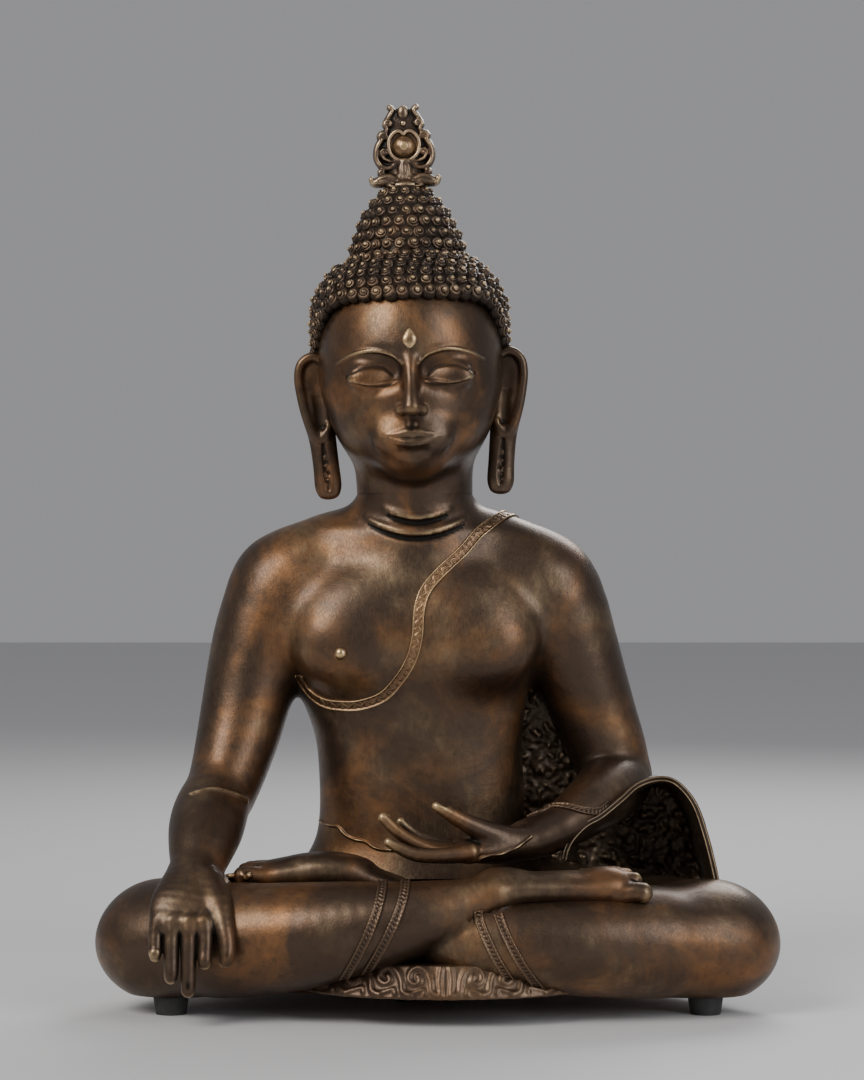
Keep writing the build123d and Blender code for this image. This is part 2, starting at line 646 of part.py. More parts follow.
head_recess = screw_head_height + 1.0
for name, x, y in PAD_PLACES:
    with BuildPart() as pad:
        with BuildSketch() as tread:
            with Locations((x, y)):
                Circle(pad_foot_diameter / 2)
        with BuildSketch(underside) as top:
            with Locations((x, y)):
                Circle(pad_diameter / 2)
        loft(sections=[tread.sketch, top.sketch])
        with BuildSketch() as bore:
            with Locations((x, y)):
                Circle(screw_diameter / 2)
        extrude(bore.sketch, amount=pad_height, mode=Mode.SUBTRACT)
        with BuildSketch() as recess:
            with Locations((x, y)):
                Circle(screw_head_diameter / 2)
        extrude(recess.sketch, amount=head_recess, mode=Mode.SUBTRACT)
    finish(pad.part, f"rubber_pad_{name}")

with BuildPart() as pad_screws:
    for name, x, y in PAD_PLACES:
        with BuildSketch(Plane.XY.offset(head_recess)) as seat:
            with Locations((x, y)):
                Circle(screw_head_diameter / 2)
        extrude(seat.sketch, amount=-screw_head_height)
        with BuildSketch(Plane.XY.offset(head_recess)) as shank:
            with Locations((x, y)):
                Circle(screw_diameter / 2)
        extrude(shank.sketch, amount=screw_length)
finish(pad_screws.part, "pad_screws")
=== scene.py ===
from math import cos, pi, radians, sin

import bmesh
import bpy
import numpy as np
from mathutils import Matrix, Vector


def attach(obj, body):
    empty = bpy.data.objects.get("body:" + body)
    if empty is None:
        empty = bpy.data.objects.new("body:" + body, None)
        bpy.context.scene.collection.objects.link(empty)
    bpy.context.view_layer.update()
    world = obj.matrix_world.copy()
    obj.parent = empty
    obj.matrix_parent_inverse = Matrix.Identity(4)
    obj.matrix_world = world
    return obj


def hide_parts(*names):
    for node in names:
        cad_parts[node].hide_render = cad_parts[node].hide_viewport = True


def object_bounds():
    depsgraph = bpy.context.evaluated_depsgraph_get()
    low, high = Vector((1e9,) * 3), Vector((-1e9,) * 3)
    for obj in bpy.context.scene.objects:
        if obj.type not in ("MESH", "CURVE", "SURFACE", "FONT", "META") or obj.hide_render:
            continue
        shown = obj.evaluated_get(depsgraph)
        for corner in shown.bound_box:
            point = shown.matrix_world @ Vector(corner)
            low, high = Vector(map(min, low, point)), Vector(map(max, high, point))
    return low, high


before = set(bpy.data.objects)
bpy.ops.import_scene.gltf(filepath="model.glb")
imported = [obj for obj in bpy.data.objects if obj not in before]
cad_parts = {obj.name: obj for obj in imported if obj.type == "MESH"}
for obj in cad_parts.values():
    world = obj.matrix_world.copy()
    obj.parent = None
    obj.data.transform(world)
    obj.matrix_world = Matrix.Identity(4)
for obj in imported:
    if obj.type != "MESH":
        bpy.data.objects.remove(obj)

import openvdb
from mathutils import Vector

cad_box = [list(corner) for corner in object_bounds()]

# ---------------------------------------------------------------------------------------------
# The wax figure.  Such a statue is modelled whole in wax, cut into sections, cast hollow in
# bronze, and the sections are pinned, brazed and chased until the seams are gone.  The wax is
# kept here as a distance field on a grid, laid out in millimetres on the founder's board.
# ---------------------------------------------------------------------------------------------
BOARD_SPAN, BOARD_DEPTH, BOARD_HEIGHT = 381.0, 228.0, 516.5
(low_x, low_y, low_z), (high_x, high_y, high_z) = cad_box
STRETCH = np.array([(high_x - low_x) / BOARD_SPAN, (high_y - low_y) / BOARD_DEPTH,
                    (high_z - low_z) / BOARD_HEIGHT])
CENTRE = np.array([(low_x + high_x) / 2, (low_y + high_y) / 2, low_z])
WAIST_JOINT, NECK_JOINT = 70.0, 291.0


def to_metres(points):
    """Board millimetres to metres in the statue's own frame."""
    return np.asarray(points, float) * STRETCH + CENTRE


def eased(rows, steps):
    """Rows of numbers with smooth rows added between them (a Catmull-Rom curve)."""
    rows = np.array(rows, float)
    padded = np.vstack([rows[:1], rows, rows[-1:]])
    out = []
    for i in range(len(rows) - 1):
        p0, p1, p2, p3 = padded[i:i + 4]
        for t in np.arange(steps) / steps:
            out.append(0.5 * (2 * p1 + (p2 - p0) * t + (2 * p0 - 5 * p1 + 4 * p2 - p3) * t * t
                              + (3 * p1 - p0 - 3 * p2 + p3) * t ** 3))
    return np.array(out + [rows[-1]])


class Wax:
    """A lump of wax on a grid: each grid point holds its distance to the surface."""

    def __init__(self, low, high, step):
        self.low, self.step = np.array(low, float), step
        self.count = ((np.array(high, float) - self.low) / step).astype(int) + 1
        self.field = np.full(self.count, 40.0, np.float32)
        self.bare = self.field.copy()               # distances before any seam is blended
        self.tag = np.zeros(self.count, np.int8)    # which section each grid point belongs to
        self.owners, self.owner = [], "body"

    def window(self, low, high, margin):
        first = np.floor((np.array(low) - margin - self.low) / self.step).astype(int)
        last = np.ceil((np.array(high) + margin - self.low) / self.step).astype(int) + 1
        first, last = np.clip(first, 0, self.count), np.clip(last, 0, self.count)
        if (last - first).min() <= 0:
            return None
        axes = [(self.low[i] + self.step * np.arange(first[i], last[i])).astype(np.float32)
                for i in range(3)]
        grid = np.meshgrid(*axes, indexing="ij", sparse=True)
        return tuple(slice(a, b) for a, b in zip(first, last)), grid

    def work(self, low, high, distance, blend, carve=False, margin=None):
        """Add a shape to the wax, or carve it away, with a soft seam of the given width."""
        found = self.window(low, high, (blend + 3 * self.step) if margin is None else margin)
        if found is None:
            return
        place, grid = found
        new, old = distance(*grid), self.field[place]
        if carve:
            new, old = -(-old), -new
            seam = np.maximum(blend - np.abs(new - old), 0) / max(blend, 1e-6)
            self.field[place] = np.maximum(new, old) + seam * seam * blend / 4
        else:
            seam = np.maximum(blend - np.abs(new - old), 0) / max(blend, 1e-6)
            self.field[place] = np.minimum(new, old) - seam * seam * blend / 4
            if self.owner not in self.owners:
                self.owners.append(self.owner)
            nearer = new < self.bare[place]
            self.bare[place] = np.where(nearer, new, self.bare[place])
            self.tag[place] = np.where(nearer, self.owners.index(self.owner), self.tag[place])

    def egg(self, centre, radii, blend=3.0, carve=False, turn=(0, 0, 0)):
        """An ellipsoid, turned by angles in degrees about x, y and z."""
        centre, radii = np.array(centre, float), np.array(radii, float)
        reach = radii.max() if any(turn) else radii
        spin = np.eye(3)
        for axis, angle in enumerate(turn):
            c, s = cos(radians(angle)), sin(radians(angle))
            one = np.eye(3)
            i, j = [(1, 2), (2, 0), (0, 1)][axis]
            one[i, i], one[i, j], one[j, i], one[j, j] = c, -s, s, c
            spin = one @ spin

        def distance(x, y, z):
            dx, dy, dz = x - centre[0], y - centre[1], z - centre[2]
            u = spin[0, 0] * dx + spin[1, 0] * dy + spin[2, 0] * dz
            v = spin[0, 1] * dx + spin[1, 1] * dy + spin[2, 1] * dz
            w = spin[0, 2] * dx + spin[1, 2] * dy + spin[2, 2] * dz
            near = np.sqrt((u / radii[0]) ** 2 + (v / radii[1]) ** 2 + (w / radii[2]) ** 2)
            slope = np.sqrt((u / radii[0] ** 2) ** 2 + (v / radii[1] ** 2) ** 2
                            + (w / radii[2] ** 2) ** 2)
            return near * (near - 1) / np.maximum(slope, 1e-6)
        self.work(centre - reach, centre + reach, distance, blend, carve)

    def limb(self, rows, blend=3.0, carve=False, steps=4, side_of=(0, 1, 0)):
        """Wax rolled along a path: rows of x, y, z, half width and half thickness."""
        rows = np.array([tuple(r) if len(r) == 5 else (*r, r[3]) for r in rows], float)
        rows = eased(rows, steps)
        middle, wide, thick = rows[:, :3], rows[:, 3], rows[:, 4]
        reach = max(wide.max(), thick.max())
        low, high = middle.min(0) - reach, middle.max(0) + reach
        flat = np.array(side_of, float)

        def distance(x, y, z):
            best = None
            for i in range(len(middle) - 1):
                a, b = middle[i], middle[i + 1]
                along = b - a
                length = np.linalg.norm(along)
                if length < 1e-6:
                    continue
                along = along / length
                side = np.cross(along, flat)
                side /= np.linalg.norm(side)
                up = np.cross(side, along)
                dx, dy, dz = x - a[0], y - a[1], z - a[2]
                w = dx * along[0] + dy * along[1] + dz * along[2]
                t = np.clip(w / length, 0, 1)
                over = w - t * length
                u = dx * side[0] + dy * side[1] + dz * side[2]
                v = dx * up[0] + dy * up[1] + dz * up[2]
                ra = wide[i] + (wide[i + 1] - wide[i]) * t
                rb = thick[i] + (thick[i + 1] - thick[i]) * t
                rc = np.minimum(ra, rb)
                near = np.sqrt((u / ra) ** 2 + (v / rb) ** 2 + (over / rc) ** 2)
                slope = np.sqrt((u / ra ** 2) ** 2 + (v / rb ** 2) ** 2 + (over / rc ** 2) ** 2)
                d = np.where(near < 1e-3, -rc, near * (near - 1) / np.maximum(slope, 1e-6))
                best = d if best is None else np.minimum(best, d)
            return best
        self.work(low, high, distance, blend, carve)

    def column(self, rows, blend=3.0, power=2.0):
        """Upright trunk: rows of height, centre x, centre y, half width, half depth."""
        rows = np.array(rows, float)
        heights = np.linspace(rows[0, 0], rows[-1, 0], 160)
        fine = eased(rows, 8)
        table = [np.interp(heights, fine[:, 0], fine[:, k]) for k in range(1, 5)]
        low = [(rows[:, 1] - rows[:, 3]).min(), (rows[:, 2] - rows[:, 4]).min(), rows[0, 0]]
        high = [(rows[:, 1] + rows[:, 3]).max(), (rows[:, 2] + rows[:, 4]).max(), rows[-1, 0]]

        def distance(x, y, z):
            cx, cy, a, b = (np.interp(z, heights, t).astype(np.float32) for t in table)
            u, v = np.abs(x - cx) / a, np.abs(y - cy) / b
            near = (u ** power + v ** power) ** (1 / power)
            slope = np.sqrt((u / a) ** 2 + (v / b) ** 2) / np.maximum(np.sqrt(u * u + v * v), 1e-3)
            side = (near - 1) / np.maximum(slope, 1e-6)
            return np.maximum(side, np.maximum(rows[0, 0] - z, z - rows[-1, 0]))
        self.work(low, high, distance, blend)

    def trim(self, point, normal):
        """Cut the wax with a flat wire: what lies beyond the plane is taken away."""
        point, normal = np.array(point, float), np.array(normal, float)
        normal /= np.linalg.norm(normal)
        axes = [(self.low[i] + self.step * np.arange(self.count[i])).astype(np.float32)
                for i in range(3)]
        x, y, z = np.meshgrid(*axes, indexing="ij", sparse=True)
        far = ((x - point[0]) * normal[0] + (y - point[1]) * normal[1]
               + (z - point[2]) * normal[2])
        self.field = np.maximum(self.field, far)

    def soften(self, passes):
        """Rub the wax smooth."""
        for _ in range(passes):
            for axis in range(3):
                f = np.moveaxis(self.field, axis, 0)
                f[1:-1] = 0.25 * f[:-2] + 0.5 * f[1:-1] + 0.25 * f[2:]

    def reach(self, start, heading, far=160.0):
        """From points outside, go straight in along a heading until the surface is met."""
        start, heading = np.asarray(start, float), np.asarray(heading, float)
        heading = np.broadcast_to(heading, start.shape)
        steps = np.arange(0, far, self.step * 0.8)
        found, before = np.full(len(start), np.nan), self.depth(start)
        for a, b in zip(steps[:-1], steps[1:]):
            after = self.depth(start + heading * b)
            hit = np.isnan(found) & (before > 0) & (after <= 0)
            found = np.where(hit, a + (b - a) * before / np.maximum(before - after, 1e-9), found)
            before = after
        return start + heading * found[:, None]

    def depth(self, points):
        """Distance to the surface at any points, read between the grid points."""
        at = (np.asarray(points) - self.low) / self.step
        at = np.clip(at, 0, self.count - 1.001)
        base = at.astype(int)
        part = at - base
        total = 0
        for corner in range(8):
            bits = np.array([(corner >> 2) & 1, (corner >> 1) & 1, corner & 1])
            share = np.prod(np.where(bits, part, 1 - part), axis=1)
            i, j, k = (base + bits).T
            total = total + share * self.field[i, j, k]
        return total

    def bend(self, points, scale):
        """How sharply the surface bends at each point: ridges above zero, creases below."""
        middle, total = self.depth(points), 0
        for axis in range(3):
            move = np.zeros(3)
            move[axis] = scale
            total = total + self.depth(points + move) + self.depth(points - move)
        return (total - 6 * middle) / scale ** 2

    def facing(self, points):
        """Outward direction of the surface at each point."""
        move = np.eye(3) * self.step * 0.8
        slope = np.stack([self.depth(points + m) - self.depth(points - m) for m in move], 1)
        return slope / np.maximum(np.linalg.norm(slope, axis=1, keepdims=True), 1e-9)

    def skin(self):
        """Surface of the wax as points and four-sided faces, in board millimetres."""
        edge = 3.0 * self.step
        field = self.field.copy()
        for axis in range(3):
            for end in (0, -1):
                cut = [slice(None)] * 3
                cut[axis] = end
                field[tuple(cut)] = np.maximum(field[tuple(cut)], self.step * 0.5)
        grid = openvdb.FloatGrid(edge)
        grid.copyFromArray(np.clip(field, -edge, edge).astype(np.float32))
        points, quads = grid.convertToQuads(0.0)
        return points.astype(float) * self.step + self.low, quads.astype(int)


def chest_and_neck(wax):
    """Trunk of the figure: broad chest, drawn-in waist, round shoulders and a full neck."""
    wax.owner = "torso"
    wax.column([(60, -9, 38, 80, 54), (76, -9, 36, 70, 46), (88, -9, 34, 63.5, 41),
                (100, -9.5, 32.5, 60.5, 39.5), (118, -9.5, 31, 60, 38.5), (146, -11, 29.5, 60.5, 37.5),
                (170, -13.5, 28.5, 65, 39.5), (196, -14, 27, 70, 41.5), (220, -14, 26, 73, 41.5),
                (240, -14, 26, 70, 38), (254, -14, 26, 58, 32), (266, -14, 24.5, 44, 27)],
               power=2.25)
    wax.limb([(-14, 26, 246, 34, 31), (-14, 24, 262, 34, 30), (-13.5, 22, 278, 32.5, 29.5),
              (-13.5, 20, 296, 32, 29.5), (-14, 17, 318, 33, 31)], blend=16)
    for side, reach in ((-1, 78), (1, 77)):
        wax.limb([(-14, 25, 277, 20, 20), (-14 + side * 28, 27, 265.5, 20, 21),
                  (-14 + side * 50, 28, 256.5, 23.5, 24), (-14 + side * reach, 29, 240, 27, 27)],
                 blend=14)
        # full chest, softly pointed
        wax.egg((-14 + side * 36, -1, 208), (34, 15.5, 27), blend=20)
        wax.egg((-14 + side * 44, -8.5, 201), (15, 7.5, 13), blend=17)
        # shoulder blade
        wax.egg((-14 + side * 36, 57, 222), (27, 12, 33), blend=22)
    wax.limb([(-13, 72, 232, 3, 3), (-12, 69, 165, 3, 3), (-11, 72, 105, 3, 3)],
             blend=20, carve=True)                                      # furrow of the spine
    wax.soften(3)


def throat_folds(wax):
    """Two creases under the throat, each a crescent with a soft roll over it."""
    for middle, height, half, sag in ((-12, 279, 18.5, 5.3), (-12.5, 273.5, 28.5, 9)):
        share = np.linspace(-1, 1, 25)
        level = height - sag * (1 - share ** 2)
        for lift, girth, carve in ((3.2, 1.9, False), (0.0, 1.65, True)):
            line = np.stack([middle + half * share, 0 * share - 60, level + lift], 1)
            line = wax.reach(line, (0, 1, 0)) + (0, 0.0 if carve else 1.0, 0)
            wax.limb([(*p, 0.3 + girth * (1 - t * t) ** 0.5) for p, t in zip(line, share)],
                     blend=0.8 if carve else 3.5, carve=carve, steps=1)


def forearm_ring(wax):
    """Thin raised edge round the forearm."""
    line = [(-140, 120.5), (-134.2, 122.4), (-125.8, 123.4), (-115, 120), (-109, 115.6)]
    line = wax.reach([(x, -100, z) for x, z in line], (0, 1, 0))
    wax.limb([(*p, 1.25) for p in line[~np.isnan(line).any(1)]], blend=1.2)


def right_arm_and_wrist(wax):
    wax.owner = "right_arm"
    wax.limb([(-84, 28, 238, 29.5, 29), (-96, 27, 225, 29.5, 30), (-104, 25, 205, 28, 29.5),
              (-110, 21, 180, 26.2, 27.5), (-115, 15, 156, 24.6, 25.5),
              (-120.5, 6, 134, 22.2, 23.5), (-125, -3, 119, 20.4, 22)], blend=11, steps=3)
    wax.limb([(-126, -6, 119, 19.5, 20), (-129.5, -18, 110, 21.3, 20.5),
              (-131.5, -32, 101, 21.3, 20), (-133, -48, 91.5, 18.6, 16.5),
              (-134, -62, 82, 15.4, 12.8), (-135, -72, 74, 15.6, 11.4)], blend=2.4, steps=4)


def right_hand_shape(wax):
    """Hand reaching to the ground: back outwards, fingers straight, thumb apart."""
    wax.limb([(-135, -66, 79, 15.2, 12), (-135.5, -79, 73.5, 18, 10.5), (-136.5, -90, 66, 20.5, 9.2),
              (-138, -97, 58, 20, 7.2), (-138.5, -100, 53.5, 17, 5)], blend=3, steps=3)
    wax.limb([(-127, -80, 75, 9, 8), (-120.5, -92, 65, 8.4, 8), (-116.8, -101, 55, 6.2, 6.4),
              (-114.6, -106, 47, 4.9, 5.0), (-114.2, -108.3, 40, 4.6, 4.5),
              (-115.4, -109.5, 36.2, 3.6, 3.3)], blend=4, steps=3)
    wax.soften(2)
    fingers = ((-153.6, 35.5, 3.9, 1.6), (-144.8, 24, 4.2, -0.6), (-135.4, 17, 4.3, -1.4),
               (-126.4, 32, 4.2, -1.2))
    for x, tip, girth, lean in fingers:
        root_x = -138 + (x + 138) * 0.88
        wax.limb([(root_x, -97 + lean, 61, girth * 0.7, girth * 0.8),
                  (x, -102.5 + lean, 52, girth, girth),
                  (x, -105.5 + lean, (50 + tip) / 2, girth * 0.98, girth * 0.97),
                  (x, -107.4 + lean, tip + 5.0, girth * 0.92, girth * 0.88),
                  (x, -107.6 + lean, tip + 2.8, girth * 0.74, girth * 0.66)], blend=1.6, steps=3)
        # nail: a shallow sunk plate on the front of the fingertip
        wax.egg((x, -112.0 + lean, tip + 7), (girth * 0.62, 1.2, 4.0), blend=0.8, carve=True)
        # knuckle, with a faint hollow between it and the next
        wax.egg((root_x, -103.0 + lean, 56), (3.4, 2.2, 4), blend=5)
    wax.egg((-115, -114.1, 41.5), (2.8, 1.3, 4.2), blend=0.8, carve=True, turn=(0, 0, 6))
    for x in (-149, -139.8, -130.6):                                   # webs between the fingers
        wax.egg((x, -102.2, 54), (1.8, 3.4, 4.5), blend=1.6)


def left_arm_and_wrist(wax):
    wax.owner = "left_arm"
    wax.limb([(56, 29, 238, 29, 28.5), (69, 30, 226, 29.5, 29.5), (77, 32, 206, 27.8, 28.5),
              (84.5, 34, 184, 26.2, 27), (92, 36.5, 162, 24.8, 25.5),
              (99.5, 38, 142, 23.2, 24), (104.5, 38, 128, 21, 22.5)], blend=11, steps=3)
    wax.limb([(108, 42, 126, 16, 18), (105.5, 32, 123, 20.5, 19.5), (98, 12, 118, 19.6, 18.6),
              (88, -6, 112, 17.6, 16.8), (76, -21, 105, 15.2, 14.4),
              (64, -32, 99.5, 13.6, 12.2), (52, -41, 96, 13.6, 11)], blend=2.6, steps=4,
             side_of=(0, 0, 1))


def left_hand_shape(wax):
    """Hand lying palm up in the lap, thumb raised, fingertips curling up."""
    wax.limb([(60, -35, 98, 13.4, 11.4), (46, -44, 94.5, 15, 10.2), (30, -51, 92, 17.5, 9),
              (14, -55, 91.5, 17.5, 7)], blend=3, steps=3, side_of=(0, 0, 1))
    wax.egg((30, -52, 101), (15, 12, 5), blend=5, carve=True, turn=(0, 6, 20))
    wax.soften(2)
    wax.limb([(50, -50, 95, 7.5, 8), (36, -59, 98, 6.8, 7.4), (20, -65, 105, 5.4, 5.6),
              (8, -68.5, 111.5, 4.4, 4.2), (0.5, -70, 116, 3.5, 3.1),
              (-1.5, -70, 117, 2.4, 2.2)], blend=4, steps=3, side_of=(0, 0, 1))
    wax.egg((2, -70.6, 118.8), (4.2, 2.8, 1.2), blend=0.5, carve=True, turn=(0, 28, 0))
    rows = [
        [(18, -69, 91, 5.2, 5.6), (3, -73, 89.8, 4.1, 4.4), (-12, -74.5, 90.4, 3.8, 3.9),
         (-22, -74.5, 94.4, 3.5, 3.3), (-27.5, -74, 97.4, 2.9, 2.5)],
        [(16, -61, 91.5, 5, 5.4), (0, -65, 91.5, 4.1, 4.3), (-14, -66.5, 96.5, 3.8, 3.8),
         (-24, -66, 103.5, 3.4, 3.4), (-30.5, -65.5, 110, 3.0, 3.0)],
        [(14, -52, 91.5, 5, 5.2), (-2, -56, 92.5, 4.1, 4.2), (-16, -58, 97, 3.7, 3.7),
         (-25, -58, 104, 3.3, 3.3), (-29, -57.5, 109, 2.8, 2.8)],
        [(14, -44, 92, 4.6, 4.8), (0, -47, 94, 3.6, 3.7), (-11, -49, 98, 3.2, 3.2),
         (-18, -49.5, 103, 2.9, 2.9), (-21, -49.5, 106.5, 2.4, 2.4)]]
    for finger in rows:
        wax.limb(finger, blend=1.6, steps=3, side_of=(0, 0, 1))


def pour(name, wax, owner=None, cuts=(), pose=None, wear_and_shade=None, shade=1.0, rubbed=None):
    """Cast one section: its skin, cut where it meets the next and closed there.

    owner picks the section of a shared wax and pose moves it to its place.  A fixed ridge level, if
    given, is laid on all of it: rubbing above zero, painted shade below.  rubbed scales the rubbing
    point by point, and shade says how dark the painted shade in its creases is.
    """
    if not hasattr(wax, "cast"):
        wax.cast = wax.skin()
    points, quads = wax.cast
    if owner:
        middle = points[quads].mean(1)
        i, j, k = np.clip(np.rint((middle - wax.low) / wax.step).astype(int), 0, wax.count - 1).T
        quads = quads[wax.tag[i, j, k] == wax.owners.index(owner)]
    used, index = np.unique(quads, return_inverse=True)
    mesh = bpy.data.meshes.new(name)
    mesh.from_pydata(points[used].tolist(), [], index.reshape(quads.shape).tolist())
    work = bmesh.new()
    work.from_mesh(mesh)
    for point, normal in cuts:
        bmesh.ops.bisect_plane(work, geom=work.verts[:] + work.edges[:] + work.faces[:],
                               plane_co=point, plane_no=normal, clear_outer=True, dist=1e-4)
    rim = {edge for edge in work.edges if edge.is_boundary}
    while rim:                                      # close each opening over its own middle
        loop, queue = [], [rim.pop()]
        while queue:
            edge = queue.pop()
            loop.append(edge)
            near = {e for v in edge.verts for e in v.link_edges} & rim
            rim -= near
            queue += near
        corners = {v for edge in loop for v in edge.verts}
        hub = work.verts.new(sum((v.co for v in corners), Vector()) / len(corners))
        for edge in loop:
            a, b = edge.verts
            if edge.link_loops[0].vert is a:
                a, b = b, a
            work.faces.new((a, b, hub))
    work.to_mesh(mesh)
    work.free()
    points = np.empty(len(mesh.vertices) * 3)
    mesh.vertices.foreach_get("co", points)
    points = points.reshape(-1, 3)
    for label, scale in (("ridge", 2.2), ("form", 7.0)):
        bend = wax.bend(points, scale)
        bend = np.where(bend < 0, bend * shade, bend)
        # one level for the whole piece: rubbing above zero, painted shade below
        if label == "ridge" and wear_and_shade is not None:
            bend = bend * 0 + wear_and_shade
        if label == "ridge" and rubbed:
            bend = np.where(bend > 0, bend * rubbed(points), bend)
        mesh.attributes.new(label, "FLOAT", "POINT").data.foreach_set("value", bend)
    facing = wax.facing(points)
    if pose:
        facing = pose(points + facing) - pose(points)
        points = pose(points)
    facing = facing / STRETCH
    facing /= np.maximum(np.linalg.norm(facing, axis=1, keepdims=True), 1e-9)
    mesh.vertices.foreach_set("co", to_metres(points).ravel())
    mesh.polygons.foreach_set("use_smooth", [True] * len(mesh.polygons))
    mesh.update()
    mesh.normals_split_custom_set_from_vertices(facing.tolist())
    piece = bpy.data.objects.new(name, mesh)
    bpy.context.scene.collection.objects.link(piece)
    return piece


def fix(piece, slot, finish, *nodes):
    """Hang a piece on the statue: its bronze and the plain solids it stands for; its slot is not used.
    """
    piece.data.materials.clear()
    piece.data.materials.append(finish)
    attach(piece, "root")
    if nodes:
        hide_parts(*nodes)
    return piece


class Nodes:
    """Short hand for wiring a material's nodes."""

    def __init__(self, name):
        self.material = bpy.data.materials.new(name)
        self.material.use_nodes = True
        self.tree = self.material.node_tree
        self.shader = self.tree.nodes["Principled BSDF"]
        self.place = self.tree.nodes.new("ShaderNodeTexCoord").outputs["Object"]

    def new(self, kind, **inputs):
        node = self.tree.nodes.new("ShaderNode" + kind)
        for key, value in inputs.items():
            self.put(node.inputs[key.replace("_", " ")], value)
        return node

    def put(self, socket, value):
        if isinstance(value, bpy.types.NodeSocket):
            self.tree.links.new(value, socket)
        else:
            socket.default_value = value

    def noise(self, scale, detail=4.0, rough=0.55, squeeze=(1, 1, 1), twist=0.0):
        where = self.new("Mapping", Vector=self.place, Scale=squeeze).outputs["Vector"]
        node = self.new("TexNoise", Vector=where, Scale=scale, Detail=detail, Roughness=rough,
                        Distortion=twist)
        return node.outputs["Fac"]

    def attribute(self, name):
        node = self.tree.nodes.new("ShaderNodeAttribute")
        node.attribute_name = name
        return node.outputs["Fac"]

    def ramp(self, value, low, high, start=0.0, end=1.0):
        node = self.tree.nodes.new("ShaderNodeMapRange")
        node.interpolation_type = "SMOOTHSTEP"
        for key, number in (("Value", value), ("From Min", low), ("From Max", high),
                            ("To Min", start), ("To Max", end)):
            self.put(node.inputs[key], number)
        return node.outputs["Result"]

    def combine(self, kind, a, b):
        node = self.tree.nodes.new("ShaderNodeMath")
        node.operation = kind
        self.put(node.inputs[0], a)
        self.put(node.inputs[1], b)
        return node.outputs["Value"]

    def mix(self, share, a, b):
        node = self.tree.nodes.new("ShaderNodeMix")
        node.data_type = "RGBA"
        self.put(node.inputs["Factor"], share)
        for socket, value in ((node.inputs[6], a), (node.inputs[7], b)):
            self.put(socket, value if isinstance(value, bpy.types.NodeSocket) else (*value, 1.0))
        return node.outputs[2]


def patina(name, dark, warm, bright, crease=(0.012, 0.009, 0.007), gloss=0.36, rub=1.0,
           grime_and_shade=1.0, grain=1.0):
    """Oxidised bronze: dark brown skin, warm copper where thin, brass where it is rubbed, grime and
    painted shade in creases.
    """
    m = Nodes(name)
    ridge, form = m.attribute("ridge"), m.attribute("form")
    cloud = m.noise(17, 5, 0.6, twist=0.6)
    blotch = m.noise(55, 6, 0.65, twist=1.2)
    stain = m.noise(150, 5, 0.7)
    brushed = m.noise(190, 4, 0.65, squeeze=(1.0, 1.0, 0.45))
    fine = m.noise(1500, 2, 0.6, squeeze=(1.0, 1.0, 0.08))
    thin = m.combine("MULTIPLY", m.ramp(cloud, 0.45, 0.70), m.ramp(blotch, 0.30, 0.70, 0.45, 1.0))
    colour = m.mix(thin, dark, warm)
    colour = m.mix(m.combine("MULTIPLY", m.ramp(stain, 0.50, 0.72), 0.45), colour,
                   [0.55 * c for c in dark])
    haze = m.combine("MULTIPLY", m.ramp(m.noise(24, 4, 0.55), 0.46, 0.72),
                     m.ramp(brushed, 0.35, 0.70, 0.12, 0.42))
    colour = m.mix(haze, colour, [0.55 * a + 0.45 * b for a, b in zip(bright, dark)])
    worn = m.combine("MULTIPLY", m.ramp(ridge, 0.18, 0.72, 0.0, rub),
                     m.ramp(stain, 0.30, 0.62, 0.45, 1))
    colour = m.mix(worn, colour, bright)
    # creases and hollows, fine and broad, darkened towards the crease colour: grime together with
    # painted shade
    hollow = m.combine("MAXIMUM", m.ramp(ridge, -0.04, -0.30, 0.0, grime_and_shade),
                       m.ramp(form, -0.03, -0.14, 0.0, 0.55 * grime_and_shade))
    colour = m.mix(hollow, colour, crease)
    pit = m.new("TexVoronoi", Vector=m.place, Scale=420.0).outputs["Distance"]
    pits = m.combine("MULTIPLY", m.ramp(pit, 0.13, 0.07), m.ramp(m.noise(60, 3), 0.56, 0.64))
    colour = m.mix(pits, colour, crease)
    m.put(m.shader.inputs["Base Color"], colour)
    rough = m.combine("ADD", m.ramp(fine, 0.3, 0.7, gloss - 0.05, gloss + 0.09),
                      m.combine("MULTIPLY", m.combine("SUBTRACT", m.ramp(cloud, 0.3, 0.7), worn), 0.07))
    rough = m.combine("ADD", rough, m.combine("MULTIPLY", hollow, 0.30))
    m.put(m.shader.inputs["Roughness"], rough)
    m.shader.inputs["Metallic"].default_value = 0.86
    m.shader.inputs["Coat Weight"].default_value = 0.12
    m.shader.inputs["Coat Roughness"].default_value = 0.22
    swell = m.new("Bump", Strength=0.10, Distance=0.004, Height=m.noise(75, 3, 0.5)).outputs[0]
    skin = m.new("Bump", Strength=0.16 * grain, Distance=0.0006, Height=m.noise(700, 4, 0.65),
                 Normal=swell).outputs[0]
    brush = m.new("Bump", Strength=0.10 * grain, Distance=0.0004, Height=fine, Normal=skin).outputs[0]
    dent = m.new("Bump", Strength=0.5, Distance=-0.0005, Height=pits, Normal=brush).outputs[0]
    m.put(m.shader.inputs["Normal"], dent)
    return m.material


DARK_BROWN, COPPER, BRASS = (0.082, 0.053, 0.036), (0.25, 0.118, 0.048), (0.64, 0.46, 0.25)
skin_bronze = patina("patinated_bronze", DARK_BROWN, COPPER, BRASS)

